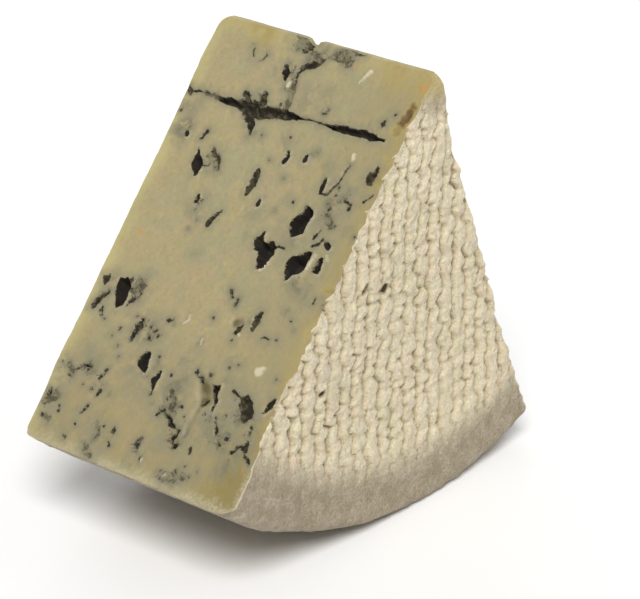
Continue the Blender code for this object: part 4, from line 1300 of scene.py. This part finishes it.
def paste_with_mould(net, place, color, mould, rag):
    """The mould over the paste: a haze, halos and flecks round the marks, and the marks' own dark insides."""
    tinge = net.mix(net.patches(place, 1.5, 0.42, 0.60), rgb(131, 128, 101), rgb(135, 129, 109))
    tinge = net.mix(net.ramp(net.mark("bloom"), 0.6, 1.2, 0.0, 0.8), tinge, rgb(104, 100, 78))
    color = net.mix(net.times(mould["Haze"], 0.88), color, tinge)
    color = net.mix(net.times(mould["Halo"], 0.60), color, rgb(118, 113, 92))
    color = net.mix(net.times(mould["Flecks"], 0.85), color, rgb(74, 71, 52))

    # painted shade in the dips and pock marks and along the knife's furrow
    shade = net.patches(place, 1.4, 0.30, 0.60, 0.6, detail=4.0, rough=0.65)
    shade = net.times(net.ramp(net.mark("hollow"), 0.15, 1.05, 0.0, 0.97), shade)
    color = net.mix(shade, color, rgb(90, 81, 48))

    patchy = net.mix(mould["Mottle"], rgb(36, 30, 20), rgb(84, 78, 56))
    olive = net.mix(net.patches(place, 1.6, 0.40, 0.60, detail=2.0), rgb(44, 38, 27), rgb(76, 69, 44))
    inside = net.mix(net.patches(place, 2.6, 0.42, 0.62, detail=2.0), rgb(25, 20, 18), rgb(42, 35, 24))
    spongy = net.patches(place, 1.7, 0.43, 0.57, detail=5.0, rough=0.75)
    spongy = net.mix(spongy, rgb(60, 55, 38), rgb(128, 122, 96))
    slot = net.times(net.ramp(rag, 0.18, 0.24), net.ramp(rag, 0.28, 0.34, 1.0, 0.0))
    dark = net.mix(net.ramp(rag, 0.37, 0.48), net.mix(slot, inside, olive), patchy)
    dark = net.mix(net.ramp(rag, 0.86, 0.96), dark, spongy)
    return net.mix(net.times(mould["Mask"], net.ramp(rag, 0.86, 0.96, 0.98, 0.75)), color, dark)


def paste_material():
    material, net, shader, place = new_material("cut_paste")
    top, near, far, heel = (net.mark(name) for name in ("down", "near_edge", "far_edge", "heel_edge"))
    color = paste_ground(net, place, top, near, far, heel)
    edge, rag, bloom = (net.mark(name) for name in ("edge", "rag", "bloom"))
    mould = use_group(net, MOULD, Vector=place, Edge=edge, Raggedness=rag, Bloom=bloom)
    color = paste_with_mould(net, place, color, mould, rag)
    # pale curd on the flakes, and a painted highlight along the eyes' lips on their lit side
    color = net.mix(net.times(net.mark("flake_and_highlight"), 0.75), color, rgb(204, 195, 166))
    net.put(color, shader.inputs["Base Color"])

    rough = net.patches(place, 3.0, 0.3, 0.7, 0.42, 0.60)
    rough = net.math("ADD", rough, net.times(mould["Mask"], 0.35), True)
    net.put(rough, shader.inputs["Roughness"])
    shader.inputs["Subsurface Weight"].default_value = 0.25
    shader.inputs["Subsurface Radius"].default_value = (1.0, 0.72, 0.38)
    shader.inputs["Subsurface Scale"].default_value = 0.9 * MM
    shader.inputs["Specular IOR Level"].default_value = 0.35
    grain = use_group(net, GRAIN, Vector=place, Size=0.34, Pits=0.5)
    net.bumps(shader, (net.noise(place, 1.5), 0.35, 0.5), (grain["Height"], 0.35, 0.22))
    return material


# %% [markdown]
# ## The pebbled rind
# The rind has dried to a cream crust with a faint bloom: palest on the crests, with flushes of pink and
# grey-green and a few olive spots where mould took hold. Painted shade darkens the grooves brown and the
# needle's holes further. Painted light makes the upper rind paler than the lower, and the smooth rind low
# down is a greyer crust with painted shade on it. It is rougher than the paste and lets less light in. The
# groove mark places the painted shade, and two layers of bumps add the grain that is too fine for the mesh.

# %% The pebbled rind
# tints in soft patches over the rind: (size in mm, detail, start, end, share, tint)
RIND_TINTS = (
    (6.0, 4.0, 0.50, 0.66, 0.5, rgb(196, 188, 156)),
    (4.0, 3.0, 0.56, 0.72, 0.4, rgb(214, 186, 166)),
)


def rind_color(net, place, grain):
    """Crests, flanks and grooves, the smooth rind, the needle's holes, and gold beside the upper edge."""
    crest = use_group(
        net, CLOUDS, Vector=place, Base=rgb(216, 207, 182), Tint_A=rgb(214, 198, 178),
        Tint_B=rgb(226, 218, 182), Size=3.4, Amount=0.9,
    )["Color"]
    groove, plain, down = net.mark("groove"), net.mark("plain"), net.mark("down")
    flank = net.mix(net.patches(place, 5.0, 0.4, 0.66), rgb(212, 197, 168), rgb(202, 194, 160))
    color = net.mix(net.ramp(groove, 0.04, 0.4), crest, flank)
    # painted light: the upper rind is made paler, so the lower rind reads as in shade
    color = net.mix(net.ramp(down, 8.0, 46.0, 0.45, 0.0), color, rgb(234, 222, 195))
    for size, detail, start, end, share, tint in RIND_TINTS:
        color = net.mix(net.patches(place, size, start, end, 0.0, share, detail, 0.6), color, tint)
    # the smooth rind and the heel: a greyer crust, darkened further with painted shade where the heel turns
    # under
    bare = net.patches(place, 3.0, 0.38, 0.62, detail=4.0, rough=0.6)
    bare = net.mix(bare, rgb(172, 160, 140), rgb(148, 136, 114))
    color = net.mix(net.times(plain, 0.85), color, bare)
    speckle = net.times(net.ramp(grain, 0.40, 0.62, 1.0, 0.0), net.ramp(plain, 0.0, 1.0, 0.4, 0.5))
    color = net.mix(speckle, color, net.mix(plain, rgb(178, 162, 128), rgb(136, 121, 95)))
    uneven = net.swing(place, 0.9, 0.9, rough=0.6)
    # painted shade: brown in the grooves, and near black in the needle's holes
    groove_shade = net.ramp(net.math("ADD", groove, uneven), 0.35, 0.95, 0.0, 0.7)
    color = net.mix(groove_shade, color, rgb(146, 130, 98))
    color = net.mix(net.ramp(groove, 1.1, 1.9, 0.0, 0.95), color, rgb(58, 50, 34))
    gold = net.ramp(net.math("ADD", down, net.times(uneven, 6.0)), 4.0, 9.0, 0.75, 0.0)
    color = net.mix(gold, color, rgb(196, 178, 122))
    olive = net.patches(place, 2.2, 0.65, 0.73, 0.0, 0.6, 4.0, 0.65)
    return net.mix(olive, color, rgb(128, 126, 88))


def rind_material():
    material, net, shader, place = new_material("pebbled_rind")
    grain = use_group(net, GRAIN, Vector=place, Size=0.5, Pits=0.7)
    net.put(rind_color(net, place, grain["Grain"]), shader.inputs["Base Color"])
    net.put(net.patches(place, 2.0, 0.3, 0.7, 0.6, 0.8), shader.inputs["Roughness"])
    shader.inputs["Subsurface Weight"].default_value = 0.12
    shader.inputs["Subsurface Radius"].default_value = (1.0, 0.75, 0.45)
    shader.inputs["Subsurface Scale"].default_value = 0.6 * MM
    shader.inputs["Specular IOR Level"].default_value = 0.3
    crumbly = net.times(net.times(net.noise(place, 0.8, 4.0, 0.7), net.mark("plain")), 2.0)
    lumpy = net.math("ADD", net.noise(place, 1.3, rough=0.6), crumbly)
    net.bumps(shader, (lumpy, 0.5, 0.7), (grain["Height"], 0.7, 0.4))
    return material


cheese.data.materials.append(paste_material())
cheese.data.materials.append(rind_material())
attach(cheese, "root")
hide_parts("cheese_wedge")
print("the cheese has", len(cheese.data.materials), "finishes")

# %% [markdown]
# ## Floor and light
# The floor is white and runs out of sight. A sun stands high on the upper left, with its rays spread so
# that every shadow has a soft border. A weak light fills in from the front right, another comes from
# behind on the right, and an even pale surround lifts the rest.

# %% Floor and light
FLOOR_SIZE = 6.0
AIM = (0, 0, 0.05)


def add_floor():
    bpy.ops.mesh.primitive_plane_add(size=FLOOR_SIZE, location=(0, 0, 0))
    floor = bpy.context.object
    floor.name = "floor"
    material, _, shader, _ = new_material("floor_white")
    shader.inputs["Base Color"].default_value = (0.95, 0.95, 0.95, 1)
    shader.inputs["Roughness"].default_value = 0.8
    floor.data.materials.append(material)


def add_light(name, place, aim, size, watts):
    """A square area light of a size in metres, turned from its place to what it is aimed at."""
    light = bpy.data.lights.new(name, "AREA")
    light.size = size
    light.energy = watts
    lamp = bpy.data.objects.new(name, light)
    lamp.location = place
    lamp.rotation_euler = (Vector(aim) - Vector(place)).to_track_quat("-Z", "Y").to_euler()
    bpy.context.scene.collection.objects.link(lamp)


def add_sun(name, toward, spread, strength):
    """A far, even light, with its rays spread over this many degrees, that comes from this direction."""
    light = bpy.data.lights.new(name, "SUN")
    light.angle = math.radians(spread)
    light.energy = strength
    lamp = bpy.data.objects.new(name, light)
    lamp.rotation_euler = Vector(toward).to_track_quat("Z", "Y").to_euler()
    bpy.context.scene.collection.objects.link(lamp)


add_floor()
add_sun("key_sun", (-0.52, -0.42, 0.74), 26, 2.8)
add_light("fill_light", (0.9, -0.9, 0.7), AIM, 0.9, 1.5)
add_light("back_light", (0.7, 1.1, 0.8), AIM, 1.2, 4.0)
world = bpy.data.worlds.new("studio")
world.use_nodes = True
world.node_tree.nodes["Background"].inputs["Color"].default_value = (1, 1, 1, 1)
world.node_tree.nodes["Background"].inputs["Strength"].default_value = 0.33
bpy.context.scene.world = world
bpy.context.scene.view_settings.view_transform = "Standard"
